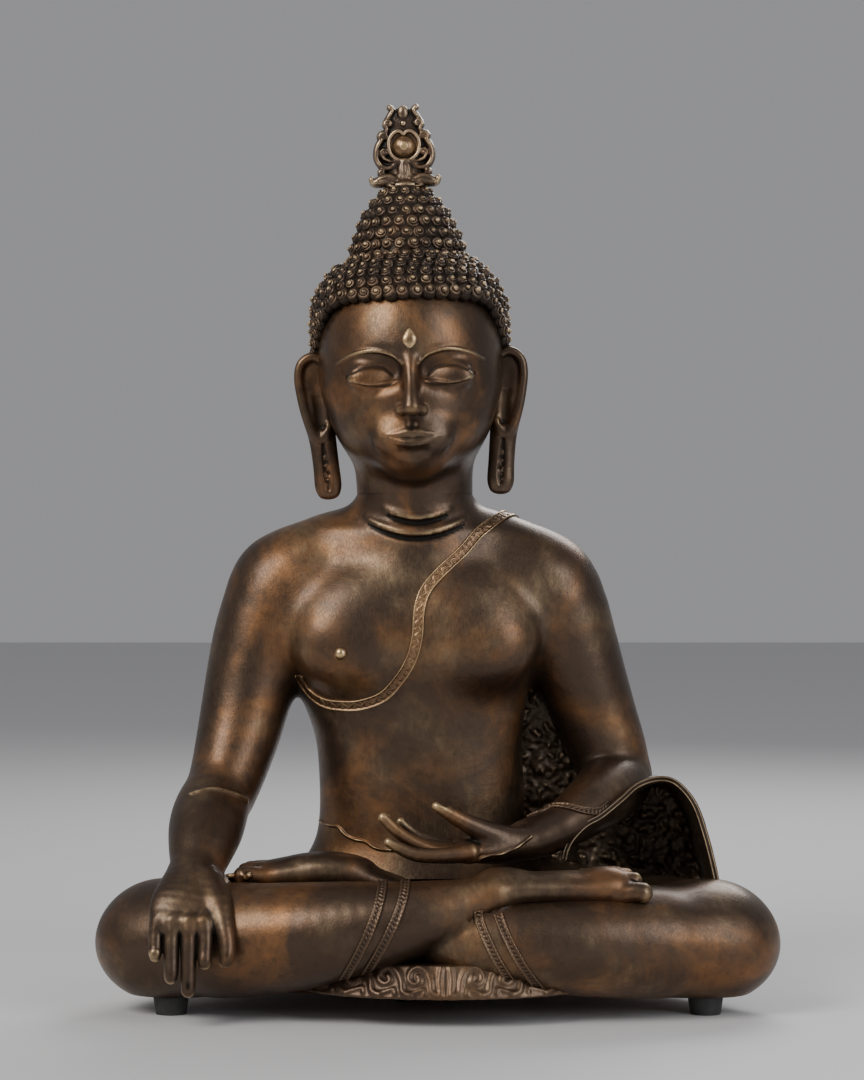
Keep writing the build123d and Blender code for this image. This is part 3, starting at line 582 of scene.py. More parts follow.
body = Wax((-162, -112, 60), (142, 96, 300), 1.45)
chest_and_neck(body)
right_arm_and_wrist(body)
right_hand_shape(body)
left_arm_and_wrist(body)
left_hand_shape(body)
body.soften(1)
body.owner = "torso"
throat_folds(body)
body.owner = "right_arm"
forearm_ring(body)
RIGHT_WRIST = ((-134.4, -64, 80), (-0.06, -0.72, -0.69))
LEFT_WRIST = ((58, -36, 97.5), (-0.80, -0.58, -0.18))
fix(pour("torso", body, "torso", [((0, 0, NECK_JOINT), (0, 0, 1)),
                                  ((0, 0, WAIST_JOINT), (0, 0, -1))]),
    "bronze", skin_bronze, "torso_casting")
fix(pour("right_arm", body, "right_arm", [RIGHT_WRIST]), "bronze", skin_bronze, "right_arm")
fix(pour("left_arm", body, "left_arm", [LEFT_WRIST]), "bronze", skin_bronze, "left_arm")


# ---------------------------------------------------------------------------------------------
# Hands.  Each is cast on its own, with its finer wax, and slides into the hollow wrist on a
# tang; the seam is chased away.  The right reaches to the ground, the left lies in the lap.
# ---------------------------------------------------------------------------------------------
hand = Wax((-162, -112, 12), (-98, -46, 100), 0.72)
right_arm_and_wrist(hand)
right_hand_shape(hand)
fix(pour("right_hand", hand, None, [(RIGHT_WRIST[0], tuple(-np.array(RIGHT_WRIST[1])))]),
    "bronze", skin_bronze, "right_hand")
hand = Wax((-40, -86, 72), (72, -22, 128), 0.72)
left_arm_and_wrist(hand)
left_hand_shape(hand)
fix(pour("left_hand", hand, None, [(LEFT_WRIST[0], tuple(-np.array(LEFT_WRIST[1])))]),
    "bronze", skin_bronze, "left_hand")


# ---------------------------------------------------------------------------------------------
# Hips and legs.  The hips are a hollow shell, open below; knees and shins are cast apart and
# brazed on, the right shin crossing over the left.
# ---------------------------------------------------------------------------------------------
def hips_and_thighs(wax):
    wax.owner = "hips"
    wax.egg((-8, 48, 40), (104, 60, 37), blend=8)
    for side in (-1, 1):
        wax.egg((-8 + side * 46, 66, 40), (56, 45, 36), blend=16)
        wax.limb([(-8 + side * 62, 44, 40, 44, 33), (side * 112, 10, 40, 42, 31),
                  (side * 142, -22, 41, 38, 30), (side * 152, -42, 41, 36, 30)], blend=20,
                 side_of=(0, 0, 1))


def right_knee_and_shin(wax):
    wax.owner = "right_leg"
    wax.limb([(-156, -46, 40, 33.5, 30), (-132, -60, 41.5, 34, 31), (-108, -70, 43, 32, 31.5)],
             blend=14, side_of=(0, 0, 1))
    wax.egg((-154, -46, 38), (36.5, 33, 29), blend=10)
    wax.limb([(-120, -66, 42, 33, 31), (-84, -78, 45.5, 31, 30), (-52, -86, 50, 28, 27),
              (-24, -91, 55, 23.5, 22.5), (-2, -93, 61, 18, 17.5), (16, -93, 67, 13, 12.5),
              (30, -92, 71, 11, 10)], blend=2.2, side_of=(0, 0, 1))


def left_knee_and_shin(wax):
    wax.owner = "left_leg"
    wax.limb([(154, -46, 39, 34, 30), (132, -58, 40.5, 34, 30.5), (108, -67, 41.5, 32, 30.5)],
             blend=14, side_of=(0, 0, 1))
    wax.egg((153, -46, 37), (37.5, 34, 29.5), blend=10)
    wax.limb([(120, -64, 41, 33, 30.5), (84, -75, 42, 31, 29.5), (50, -81, 43, 28.5, 26.5),
              (20, -82, 44.5, 25, 23), (-8, -76, 50, 20, 19), (-34, -64, 60, 14, 12),
              (-50, -56, 68, 10, 8)], blend=3, side_of=(0, 0, 1))


lower = Wax((-198, -126, 4), (198, 122, 96), 1.5)
hips_and_thighs(lower)
left_knee_and_shin(lower)
right_knee_and_shin(lower)
lower.soften(2)
lower.trim((0, 0, 10), (0, 0, -1))
ANKLE = ((14, -93, 67), (1, 0, 0.2))
fix(pour("hips", lower, "hips", [((0, 0, 10.6), (0, 0, -1))]), "bronze", skin_bronze, "hip_casting")
fix(pour("left_leg", lower, "left_leg"), "bronze", skin_bronze, "left_leg")
fix(pour("right_leg", lower, "right_leg", [ANKLE]), "bronze", skin_bronze, "right_leg")


# ---------------------------------------------------------------------------------------------
# Feet.  Both lie sole up on the opposite thigh, so only the sole, the long inner edge and the
# tips of the toes are seen.  Small solid castings, brazed to shin and thigh.
# ---------------------------------------------------------------------------------------------
foot = Wax((4, -116, 54), (122, -44, 94), 0.75)
right_knee_and_shin(foot)
foot.owner = "foot"
foot.limb([(25, -91.5, 70.5, 9, 8), (32, -90.5, 72, 11, 9), (42, -88, 73.5, 12.5, 9),
           (58, -84, 73.5, 14, 9), (78, -79, 73, 16, 9.5), (94, -75, 72.5, 17, 9.5),
           (102, -73, 72, 15, 8)], blend=4, side_of=(0, 0, 1))
foot.egg((34, -84, 77), (14, 10, 7.5), blend=6)
foot.egg((92, -80, 76), (13, 9, 8), blend=6)
foot.soften(3)
for n, (x, y, z, r) in enumerate(((113, -87, 71, 5.6), (109, -79, 77, 4.3), (105, -71.5, 78.8, 4.0),
                                  (100.5, -65, 79.3, 3.7), (96, -59.5, 79, 3.4))):
    foot.limb([(x - 15, y + 1.5, z - 1, r, r), (x - 6, y, z + 0.5, r, r * 0.95),
               (x - 1, y, z, r * 1.05, r)], blend=1.8, side_of=(0, 0, 1), steps=3)
fix(pour("right_foot", foot, None, [(ANKLE[0], tuple(-np.array(ANKLE[1])))]), "bronze", skin_bronze,
    "right_foot")

foot = Wax((-126, -78, 56), (-18, -22, 100), 0.8)
foot.limb([(-22, -50, 70, 10, 6), (-40, -52, 75, 12, 7.5), (-58, -51, 78, 14.5, 9.5),
           (-76, -50, 78.5, 15.5, 9.5), (-92, -49, 77, 15.5, 8.5), (-100, -48, 76, 13, 7.5)],
          blend=5, side_of=(0, 0, 1))
foot.egg((-58, -52, 82), (20, 12, 6), blend=8)
foot.soften(3)
for n, (x, y, z, r) in enumerate(((-110, -60, 77, 5.4), (-109, -52, 79.5, 4.2), (-107, -45, 80, 3.9),
                                  (-104, -38.5, 80, 3.6), (-100.5, -33, 79, 3.3))):
    foot.limb([(x + 16, y + 1.5, z - 1, r, r), (x + 7, y, z + 0.5, r, r * 0.95),
               (x + 1, y, z, r * 1.05, r)], blend=1.8, side_of=(0, 0, 1), steps=3)
chance = np.random.default_rng(4)
for n in range(34):                     # rough metal left between toes and thigh by the mould
    foot.egg((chance.uniform(-117, -104), chance.uniform(-68, -52), chance.uniform(67, 79)),
             chance.uniform(1.3, 2.9, 3), blend=1.0)
fix(pour("left_foot", foot), "bronze", skin_bronze, "left_foot")


# ---------------------------------------------------------------------------------------------
# Head.  Hollow casting down to the neck joint.  The face is an open, calm one set out by the
# rule of thirds: brow, base of nose and chin at even spaces, eyes half closed under soft lids.
# It is modelled upright about its own middle line, then given its slight lean.
# ---------------------------------------------------------------------------------------------
LEAN = radians(1.8)
NECK_MIDDLE = np.array([-13.5, 0.0, NECK_JOINT])


def poise(points):
    """From the upright head to its place on the neck, leaning a little to its own right."""
    x, y, z = (np.asarray(points, float) - (0, 0, NECK_JOINT)).T
    return np.stack([x * cos(LEAN) - z * sin(LEAN), y, x * sin(LEAN) + z * cos(LEAN)], 1) + NECK_MIDDLE


BROW, NOSE_BASE = 367.5, 333.5
EYE_LINE, MOUTH_LINE, EYE_SPACING = 357.0, 321.5, 21.5

# the neck starts with the width and depth that the torso has at the joint
level = NECK_JOINT - 0.4
neck_sides = body.reach([(-80, 20.5, level), (50, 20.5, level)], ((1, 0, 0), (-1, 0, 0)))[:, 0]
neck_ends = body.reach([(-13.5, -60, level), (-13.5, 90, level)], ((0, 1, 0), (0, -1, 0)))[:, 1]
neck_x, neck_y = neck_sides.mean() - NECK_MIDDLE[0], neck_ends.mean()
neck_wide, neck_deep = np.ptp(neck_sides) / 2 + 0.1, np.ptp(neck_ends) / 2 + 0.1
head = Wax((-66, -66, 282), (66, 84, 436), 0.85)
head.column([(NECK_JOINT - 15, neck_x, neck_y, neck_wide, neck_deep),
             (NECK_JOINT, neck_x, neck_y, neck_wide, neck_deep),
             (306, 0, 18.5, neck_wide + 0.6, 31), (320, 0, 16, 36, 36), (332, 0, 16, 41, 42)],
            blend=4)
head.egg((0, 14, 378), (53.5, 58.5, 53), blend=4)                       # skull
head.egg((0, 3, 352), (51.0, 47, 41), blend=14)                         # cheekbones
head.egg((0, -2, 329), (39, 39.5, 25), blend=15)                        # jaw
head.egg((0, -25, 310), (15.5, 14, 10.5), blend=15)                     # chin
head.soften(3)


def on_face(x, z, proud=0.0):
    """A point on the front of the head, standing a little proud of it."""
    x, z = np.atleast_1d(x).astype(float), np.atleast_1d(z).astype(float)
    found = head.reach(np.stack([x, 0 * x - 64, z], 1), (0, 1, 0))
    return found - np.array([0, proud, 0])


def stroke(points, girths, proud, blend, carve=False):
    """Lay a thin roll of wax on the face, or cut a groove, along a few points."""
    fine = eased([(x, z, g) for (x, z), g in zip(points, girths)], 5)
    middle = on_face(fine[:, 0], fine[:, 1], proud)
    head.limb([(*p, g) for p, g in zip(middle, fine[:, 2])], blend=blend, carve=carve, steps=1)


nose_top = on_face(0, BROW - 3)[0][1]
for side in (-1, 1):                                                    # eye sockets
    eye = side * EYE_SPACING
    head.egg((eye - side * 1, on_face(eye, EYE_LINE)[0][1] - 3.4, EYE_LINE + 2.5), (15, 6.0, 8.5),
             blend=9, carve=True, turn=(0, 0, side * -12))
for side in (-1, 1):                                                    # full, lowered lids
    eye = side * EYE_SPACING
    head.egg((eye, on_face(eye, EYE_LINE)[0][1] + 3.2, EYE_LINE - 1.0), (14.5, 7.2, 8.6), blend=4.5,
             turn=(0, 0, side * -14))
head.limb([(0, nose_top + 3.8, BROW - 1.5, 2.0, 2.4), (0, nose_top + 1.2, BROW - 6, 2.9, 3.6),
           (0, nose_top - 2.4, EYE_LINE - 6, 3.7, 4.4), (0, nose_top - 6.8, NOSE_BASE + 9, 4.5, 4.8),
           (0, nose_top - 8.6, NOSE_BASE + 4.8, 5.0, 4.6)], blend=5)
for side in (-1, 1):
    head.egg((side * 5.6, nose_top - 3.6, NOSE_BASE + 3.8), (3.6, 5.4, 3.5), blend=3.4)
    head.egg((side * 3.3, nose_top - 5.6, NOSE_BASE + 0.1), (1.5, 2.4, 1.4), blend=1.0, carve=True)
lip_y = on_face(0, MOUTH_LINE)[0][1]
head.egg((0, lip_y + 4.2, MOUTH_LINE + 0.5), (21, 8, 10), blend=9)      # swell under the lips
stroke([(-15, MOUTH_LINE + 1.0), (-8, MOUTH_LINE + 1.9), (-2.6, MOUTH_LINE + 3.0),
        (0, MOUTH_LINE + 2.4), (2.6, MOUTH_LINE + 3.0), (8, MOUTH_LINE + 1.9),
        (15, MOUTH_LINE + 1.0)], (0.5, 1.6, 2.2, 2.1, 2.2, 1.6, 0.5), -0.7, 2.0)
stroke([(-12, MOUTH_LINE - 0.6), (-6, MOUTH_LINE - 2.4), (0, MOUTH_LINE - 3.2),
        (6, MOUTH_LINE - 2.4), (12, MOUTH_LINE - 0.6)], (0.7, 2.2, 2.8, 2.2, 0.7), -0.8, 2.0)
stroke([(-16.5, MOUTH_LINE + 1.6), (-8, MOUTH_LINE + 0.1), (0, MOUTH_LINE - 0.7),
        (8, MOUTH_LINE + 0.1), (16.5, MOUTH_LINE + 1.6)], (0.4, 0.55, 0.5, 0.55, 0.4), 0.35, 1.0, True)
stroke([(0, NOSE_BASE - 2.5), (0, MOUTH_LINE + 7)], (0.8, 1.3), 0.9, 3.0, True)
stroke([(-7, MOUTH_LINE - 8.6), (0, MOUTH_LINE - 9.6), (7, MOUTH_LINE - 8.6)], (1.0, 1.8, 1.0), 1.4,
       5.0, True)
for side in (-1, 1):
    eye = side * EYE_SPACING
    inner, outer = side * 8.0, side * 36.0
    # lid edge, the thin open line under it, and the fold over the lid
    stroke([(inner, EYE_LINE - 3.4), (eye - side * 6, EYE_LINE - 4.4), (eye + side * 3, EYE_LINE - 4.8),
            (outer, EYE_LINE - 1.8)], (0.35, 0.8, 0.8, 0.35), 0.0, 1.2)
    stroke([(inner + side * 0.5, EYE_LINE - 4.4), (eye - side * 6, EYE_LINE - 5.9),
            (eye + side * 3, EYE_LINE - 6.2), (outer - side, EYE_LINE - 3.2)],
           (0.3, 0.55, 0.55, 0.3), 0.1, 0.9, True)
    stroke([(inner + side * 2.0, EYE_LINE + 0.2), (eye - side * 6, EYE_LINE + 4.6),
            (eye + side * 4, EYE_LINE + 5.2), (outer + side, EYE_LINE + 0.4)],
           (0.3, 0.6, 0.6, 0.3), 0.15, 1.8, True)
    # raised brow, a long low arch
    stroke([(side * 4.6, BROW - 4.5), (side * 10, BROW + 0.8), (side * 21, BROW + 3.6),
            (side * 33, BROW + 2.0), (side * 42, BROW - 2.4)], (0.5, 0.8, 0.85, 0.7, 0.25), 0.3, 1.6)
face_bronze = patina("face_bronze", DARK_BROWN, COPPER, BRASS, gloss=0.33, grime_and_shade=0.85, rub=0.9)


def rubbed_face(points):
    """Hands reach the brows and nose more than the lips."""
    lips = np.hypot(points[:, 0] / 22, (points[:, 2] - MOUTH_LINE) / 9) < 1
    return np.where(lips, 0.25, 0.85)


below_neck = ((0, 0, NECK_JOINT), (-sin(LEAN), 0, -cos(LEAN)))         # level once it leans
fix(pour("head", head, None, [below_neck], pose=poise, shade=0.7, rubbed=rubbed_face), "bronze",
    face_bronze, "head_casting")


# ---------------------------------------------------------------------------------------------
# Ears.  Cast apart and brazed to the head: a rolled rim that ends in a hook, a shallow hollow
# inside it, and a long flat lobe whose slit keeps the rough metal of the mould.
# ---------------------------------------------------------------------------------------------
def ear(side):
    wax = Wax((38 if side > 0 else -74, -14, 280), (74 if side > 0 else -38, 34, 384), 0.6)
    wax.limb([(side * x, y, z, a, b) for x, y, z, a, b in (
        (57, 9, 367, 8, 4.6), (57, 8.5, 359, 10, 5.4), (56, 8, 347, 10, 5.4),
        (54, 8, 334, 8.8, 5.2), (52.2, 8, 322, 7.8, 4.8), (50.8, 8, 308, 7.6, 4.4),
        (50, 8, 297, 7.8, 4.2), (49.8, 8, 292.5, 6.4, 3.6))], blend=2, side_of=(0, 1, 0))
    rim = [(48, 4.4, 362), (51, 4.0, 368.6), (57.2, 3.6, 371.6), (63.4, 3.6, 367.6), (65.2, 3.8, 359),
           (63.6, 4.0, 347), (61.0, 4.2, 336), (58.0, 4.4, 328), (54.2, 4.4, 324),
           (50.6, 4.4, 326), (49.0, 4.8, 331)]
    wax.limb([(side * x, y, z, 2.6) for x, y, z in rim], blend=2.6)
    wax.egg((side * 54.8, 1.4, 357), (4.6, 2.6, 8), blend=4, carve=True)
    wax.limb([(side * 53.8, 2.4, 348, 2.8, 1.8), (side * 53.2, 2.8, 338, 2.4, 1.6),
              (side * 52.8, 3.2, 331, 1.8, 1.3)], blend=3, carve=True)
    for y in (3.4, 12.6):                                               # slit of the lobe
        wax.limb([(side * 52, y, 320, 0.8, 1.0), (side * 51.2, y, 312, 1.8, 1.9),
                  (side * 50.2, y, 302, 2.2, 2.2), (side * 49.8, y, 295, 1.4, 1.6)], blend=1.4,
                 carve=True)
    chance = np.random.default_rng(7)
    for y in (5.2, 10.8):                                               # left rough in the slit
        for n in range(16):
            z = chance.uniform(296, 316)
            wax.egg((side * (50.6 + (z - 306) * 0.08 + chance.normal(0, 0.7)), y, z),
                    chance.uniform(0.5, 1.0, 3), blend=0.4)
    return wax


for name, side in (("left_ear", 1), ("right_ear", -1)):
    fix(pour(name, ear(side), pose=poise, shade=0.5, rubbed=lambda points: 0.55), "bronze",
        face_bronze, name)


# ---------------------------------------------------------------------------------------------
# Drop between the brows, and the stud on the bare breast.  Small polished bronze castings, each
# on a pin.
# ---------------------------------------------------------------------------------------------
brass_trim = patina("rubbed_brass_trim", (0.17, 0.10, 0.055), (0.34, 0.19, 0.09), (0.70, 0.49, 0.26),
                    gloss=0.30, grime_and_shade=1.0)
front = on_face(0, 377)[0][1]
drop = Wax((-7, front - 6, 367), (7, front + 8, 388), 0.3)
drop.limb([(0, front - 0.2, 372.4, 1.4, 0.9), (0, front - 0.1, 374.8, 3.6, 1.7),
           (0, front + 0.2, 377.4, 4.0, 1.9), (0, front + 0.8, 380.0, 2.7, 1.6),
           (0, front + 1.4, 382.2, 1.1, 1.0), (0, front + 1.9, 383.6, 0.3, 0.4)], blend=0.5,
          side_of=(0, 1, 0))
fix(pour("urna_drop", drop, pose=poise), "brass_trim", brass_trim, "urna_drop")

place = body.reach([(-55.6, -100, 199.4)], (0, 1, 0))[0]
stud = Wax(place - 7, place + 7, 0.3)
stud.egg(place + (0, -0.6, 0), (3.3, 2.6, 3.3), blend=0.5)
stud.egg(place + (0, 0.8, 0), (4.1, 1.2, 4.1), blend=0.8)
fix(pour("breast_stud", stud), "brass_trim", brass_trim, "breast_stud")


# ---------------------------------------------------------------------------------------------
# Hair cap.  Snail curls in rows over a thick cap that follows the hairline: level over the
# forehead, down to the ears and low at the nape.  Cast apart from the face, curls left sharp.
# ---------------------------------------------------------------------------------------------
CURL_PITCH = 7.5
HAIR_MIDDLE = np.array([0.0, 14.0, 378.0])


def hairline(x, y):
    """Height of the hair's edge all round the head."""
    bearing = np.degrees(np.arctan2(np.abs(x), HAIR_MIDDLE[1] - y))
    return np.interp(bearing, (0, 44, 58, 72, 86, 105, 135, 180),
                     (401.5, 401, 397, 384, 370, 360, 341, 331))


def forge(name, points, faces, ridge, form=0.0, pose=None):
    """A piece from board points and faces, with how rubbed and how sunken each point is; sunken points
    and ridge levels below zero get grime and painted shade.
    """
    points = np.asarray(points, float)
    mesh = bpy.data.meshes.new(name)
    mesh.from_pydata(to_metres(pose(points) if pose else points).tolist(), [], faces)
    for label, values in (("ridge", ridge), ("form", form)):
        values = np.broadcast_to(np.asarray(values, np.float32), len(points)).copy()
        mesh.attributes.new(label, "FLOAT", "POINT").data.foreach_set("value", values)
    work = bmesh.new()
    work.from_mesh(mesh)
    bmesh.ops.recalc_face_normals(work, faces=work.faces)
    work.to_mesh(mesh)
    work.free()
    mesh.polygons.foreach_set("use_smooth", [True] * len(mesh.polygons))
    piece = bpy.data.objects.new(name, mesh)
    bpy.context.scene.collection.objects.link(piece)
    return piece


def tube_faces(rings, sides):
    """Four-sided faces from ring to ring of a tube, and one face over each end."""
    last = (rings - 1) * sides
    walls = [(i + j, i + (j + 1) % sides, i + sides + (j + 1) % sides, i + sides + j)
             for i in range(0, last, sides) for j in range(sides)]
    return walls + [tuple(range(sides))[::-1], tuple(range(last, last + sides))]


def turned(profile, sides):
    """Lathe work: rings of radius and height, closed at both ends."""
    angle = 2 * pi * np.arange(sides) / sides
    points = [(r * cos(a), r * sin(a), h) for r, h in profile for a in angle]
    return points, tube_faces(len(profile), sides)


def snail_curl():
    """One curl: a tapering roll wound twice up a low dome to a bead.  Points, faces, and per point the
    rubbing above zero and painted shade below.
    """
    points, faces, wear_and_shade = [], [], []

    def put(new_points, new_faces, new_wear_and_shade):
        start = len(points)
        points.extend(new_points)
        wear_and_shade.extend(new_wear_and_shade)
        faces.extend(tuple(start + k for k in face) for face in new_faces)

    dome, dome_faces = turned([(3.9, -2.4), (3.75, -0.4), (2.9, 0.9), (1.2, 1.6)], 10)
    # the dome under the roll is painted dark: grime and painted shade in the curl's hollow
    put(dome, dome_faces, [-0.22] * len(dome))
    steps, sides = 23, 6
    roll, wear_and_shade_of_roll = [], []
    for t in np.linspace(0, 1, steps):
        angle, girth = 4.2 * pi * t, 1.02 - 0.3 * t
        out, rise = 2.75 * (1 - t) ** 0.85, 0.55 + 2.0 * t ** 1.5
        for k in range(sides):
            lean = 2 * pi * k / sides + 0.3
            reach = out + girth * cos(lean)
            roll.append((reach * cos(angle), reach * sin(angle), rise + girth * sin(lean)))
            # crest of the roll rubbed bright, its side towards the dome painted dark as grime and
            # painted shade
            wear_and_shade_of_roll.append(-0.13 + (0.44 + 0.35 * t * t) * max(0.0, sin(lean)))
    put(roll, tube_faces(steps, sides), wear_and_shade_of_roll)
    bead, bead_faces = turned([(0.6, 1.7), (1.1, 2.3), (0.95, 2.9), (0.35, 3.2)], 7)
    put(bead, bead_faces, [0.1] * 7 + [0.4] * 7 + [0.75] * 14)
    return np.array(points), faces, np.array(wear_and_shade)


def comb(name, places, outward, sizes, wild, seed):
    """Set snail curls on their places, each turned and tipped a little differently."""
    curl, curl_faces, wear_and_shade = snail_curl()
    chance = np.random.default_rng(seed)
    all_points, all_faces, all_wear_and_shade = [], [], []
    for count, (place, out, size) in enumerate(zip(places, outward, sizes)):
        out = out + chance.normal(0, 0.05 + 0.16 * wild, 3)
        out = out / np.linalg.norm(out)
        side = np.cross(out, (0, 0, 1))
        side /= np.linalg.norm(side)
        up = np.cross(side, out)
        hand = 1 if place[0] > 0 else -1
        spin = chance.uniform(0, 2 * pi)
        x, y, z = (curl * size * chance.normal(1.13, 0.03 + 0.05 * wild)).T
        u, v = hand * (x * cos(spin) - y * sin(spin)), x * sin(spin) + y * cos(spin)
        z = z * chance.uniform(0.85, 1.12)
        all_points.append(place + u[:, None] * side + v[:, None] * up + z[:, None] * out)
        all_faces += [tuple(k + count * len(curl) for k in face) for face in curl_faces]
        rubbed = chance.uniform(0.45, 1.1)
        # rubbing scaled curl by curl; the painted shade below zero kept as it is
        all_wear_and_shade.append(np.where(wear_and_shade > 0, wear_and_shade * rubbed, wear_and_shade))
    piece = forge(name, np.concatenate(all_points), all_faces, np.concatenate(all_wear_and_shade), -0.03,
                  pose=poise)
    return fix(piece, "hair_bronze", hair_bronze)


hair_bronze = patina("curled_hair_bronze", (0.075, 0.052, 0.038), (0.16, 0.095, 0.055),
                     (0.66, 0.47, 0.27), crease=(0.020, 0.015, 0.012), gloss=0.40, grime_and_shade=0.9)
scalp = Wax((-62, -50, 322), (62, 80, 434), 0.9)
scalp.column([(322, 0, 12, 50, 52), (345, 0, 12, 53.5, 57), (365, 0, 12.5, 55, 58),
              (380, 0, 13, 55.6, 58), (397, 0, 13.5, 55.4, 56.5), (406, 0, 14, 53.3, 53.8),
              (414, 0, 14.5, 48.6, 49), (421, 0, 15, 42.5, 43), (428, 0, 15, 34, 35)], blend=2)
axes = [(scalp.low[i] + scalp.step * np.arange(scalp.count[i])) for i in range(3)]
x, y, z = np.meshgrid(*axes, indexing="ij", sparse=True)
scalp.field = np.maximum(scalp.field, hairline(x, y) - z).astype(np.float32)
scalp.soften(2)
grid = np.stack(np.broadcast_arrays(x, y, z), -1).reshape(-1, 3)
scalp.field = np.maximum(scalp.field, -head.depth(grid).reshape(scalp.field.shape) - 1.5)
# the whole cap is set below zero: grime and painted shade between the curls
fix(pour("hair_cap", scalp, pose=poise, wear_and_shade=-0.24), "hair_bronze", hair_bronze, "hair_cap")


def rows_of_curls():
    """Places in rows that run parallel to the hairline, row by row up to the knot."""
    bearing, rise = np.radians(np.arange(-180, 181, 3.0))[:, None], np.radians(np.arange(-44, 74, 2.0))
    heading = np.stack([np.sin(bearing) * np.cos(rise), -np.cos(bearing) * np.cos(rise),
                        np.sin(rise) + 0 * bearing], -1)
    skin = scalp.reach((HAIR_MIDDLE + 100 * heading).reshape(-1, 3), -heading.reshape(-1, 3))
    skin = skin.reshape(heading.shape)
    found = []
    for row in range(24):
        line = []
        for ray, points in zip(heading, skin):
            far = ((points - HAIR_MIDDLE) * ray).sum(1)
            points = points[far > 30]
            points = points[points[:, 2] > hairline(points[:, 0], points[:, 1]) + 0.4]
            run = np.r_[0, np.cumsum(np.linalg.norm(np.diff(points, axis=0), axis=1))]
            edge = hairline(points[0, 0], points[0, 1]) - points[0, 2]
            want = edge + 3.0 + row * CURL_PITCH * 0.92
            spot = np.array([np.interp(want, run, points[:, k]) for k in range(3)])
            near_knot = np.hypot(spot[0], spot[1] - 15) < 37.5 and spot[2] > 415
            line.append(spot if want < run[-1] and not near_knot else np.full(3, np.nan))
        line = np.array(line)
        gaps = np.linalg.norm(np.diff(line, axis=0), axis=1)
        run = np.r_[0, np.cumsum(np.nan_to_num(gaps))]
        for want in np.arange(CURL_PITCH * (0.25 + 0.5 * (row % 2)), run[-1], CURL_PITCH):
            spot = np.array([np.interp(want, run, line[:, k]) for k in range(3)])
            if np.isnan(spot).any():
                continue
            if found and np.linalg.norm(np.array([p for p, _ in found]) - spot, axis=1).min() < 5.9:
                continue
            found.append((spot, 1.08 if row == 0 else 0.97))
    return np.array([p for p, _ in found]), [size for _, size in found]


places, sizes = rows_of_curls()
comb("hair_cap_curls", places, scalp.facing(places), sizes, 0.5, 5)


# ---------------------------------------------------------------------------------------------
# Hair knot.  The same curls, level rows on a tall cone, with a band of small tangled curls at its
# foot.  The jewel finial plugs into its flat top.
# ---------------------------------------------------------------------------------------------
knot = Wax((-44, -30, 416), (44, 60, 474), 0.9)
knot_rows = [(418, 0, 15, 35, 35.5), (427, 0, 15, 33.2, 33.7), (438, 0, 15, 30.2, 30.7),
             (445, 0, 15, 27.2, 27.7), (452, 0, 15, 23.9, 24.4), (459, 0, 15, 19.2, 19.7),
             (464, 0, 15, 14.9, 15.4), (469.5, 0, 15, 9.8, 10.3)]
knot.column(knot_rows, blend=2)
knot.soften(1)
# the whole knot is set below zero: grime and painted shade between the curls
fix(pour("hair_knot", knot, pose=poise, wear_and_shade=-0.24), "hair_bronze", hair_bronze, "hair_knot")
levels = np.array(knot_rows)
places, sizes = [], []
for row, (height, size) in enumerate(((465.2, 0.9), (459.4, 0.92), (453.0, 0.97), (446.6, 1.0),
                                      (440.0, 1.0), (433.4, 1.0), (427.6, 0.78), (423.6, 0.72))):
    radius = np.interp(height, levels[:, 0], levels[:, 3])
    number = round(2 * pi * radius / (CURL_PITCH * size * 0.98))
    for k in range(number):
        angle = 2 * pi * (k + 0.5 * (row % 2)) / number
        places.append((radius * sin(angle), 15 - radius * cos(angle), height))
        sizes.append(size)
places = np.array(places)
comb("hair_knot_curls", places, knot.facing(places), sizes, 0.55, 8)


# ---------------------------------------------------------------------------------------------
# Finial.  A jewel in a leafy mount, cast in one and chased on both faces: two leaves and a bud at
# the foot, scrolls up the sides, a tongue at the top, and a domed jewel in a notched setting.
# ---------------------------------------------------------------------------------------------
mount = Wax((-24, 2, 462), (24, 28, 520), 0.42)
MOUNT_Y = 15.0


def scroll(points, volute=None, girth=1.5, depth=3.6, carve=False, y=MOUNT_Y, blend=0.7):
    """Flat scroll through points (x, z), ending in a volute: middle, radius, start, sense."""
    path = [tuple(p) for p in eased(points, 4)]
    if volute:
        cx, cz, radius, start, sense = volute
        for t in np.linspace(0, 1, 11):
            angle, r = radians(start) + sense * 2.5 * pi * t, radius * (1 - 0.9 * t)
            path.append((cx + r * cos(angle), cz + r * sin(angle)))
    for side in (-1, 1):
        mount.limb([(side * x, y, z, girth, depth) for x, z in path], blend=blend, carve=carve, steps=1)


mount.limb([(0, 15, 466, 9.5, 9.5), (0, 15, 471, 9, 8), (0, 15, 476, 6, 5)], blend=2)
mount.egg((0, 15, 469.5), (12.5, 11, 3.4), blend=2)
mount.egg((0, 15, 489.5), (16.2, 3.6, 12.5), blend=2)
mount.egg((0, 15, 479), (11, 4, 7), blend=3)
mount.egg((0, 15, 504), (10.2, 3.2, 11.5), blend=3)
for side in (-1, 1):                                                    # leaves at the foot
    for y in (10.6, 15, 19.4):
        mount.limb([(side * 4, y, 471, 3.4, 3), (side * 9, y, 472.8, 3.9, 3.4),
                    (side * 14, y, 472.6, 3.3, 3), (side * 18.0, y, 471.6, 1.9, 2.2),
                    (side * 19.4, y, 473.6, 1.7, 1.9)], blend=1.2, steps=3)
    for y in (6.6, 23.4):                                               # veins of the leaf
        mount.limb([(side * 5, y, 471.4, 0.6, 1.2), (side * 10, y, 473.4, 0.75, 1.2),
                    (side * 15, y, 472.8, 0.5, 1.2)], blend=0.9, carve=True)
        mount.limb([(side * 6, y, 469.6, 0.5, 1.0), (side * 11, y, 470.4, 0.6, 1.0),
                    (side * 15, y, 470.4, 0.4, 1.0)], blend=0.8, carve=True)
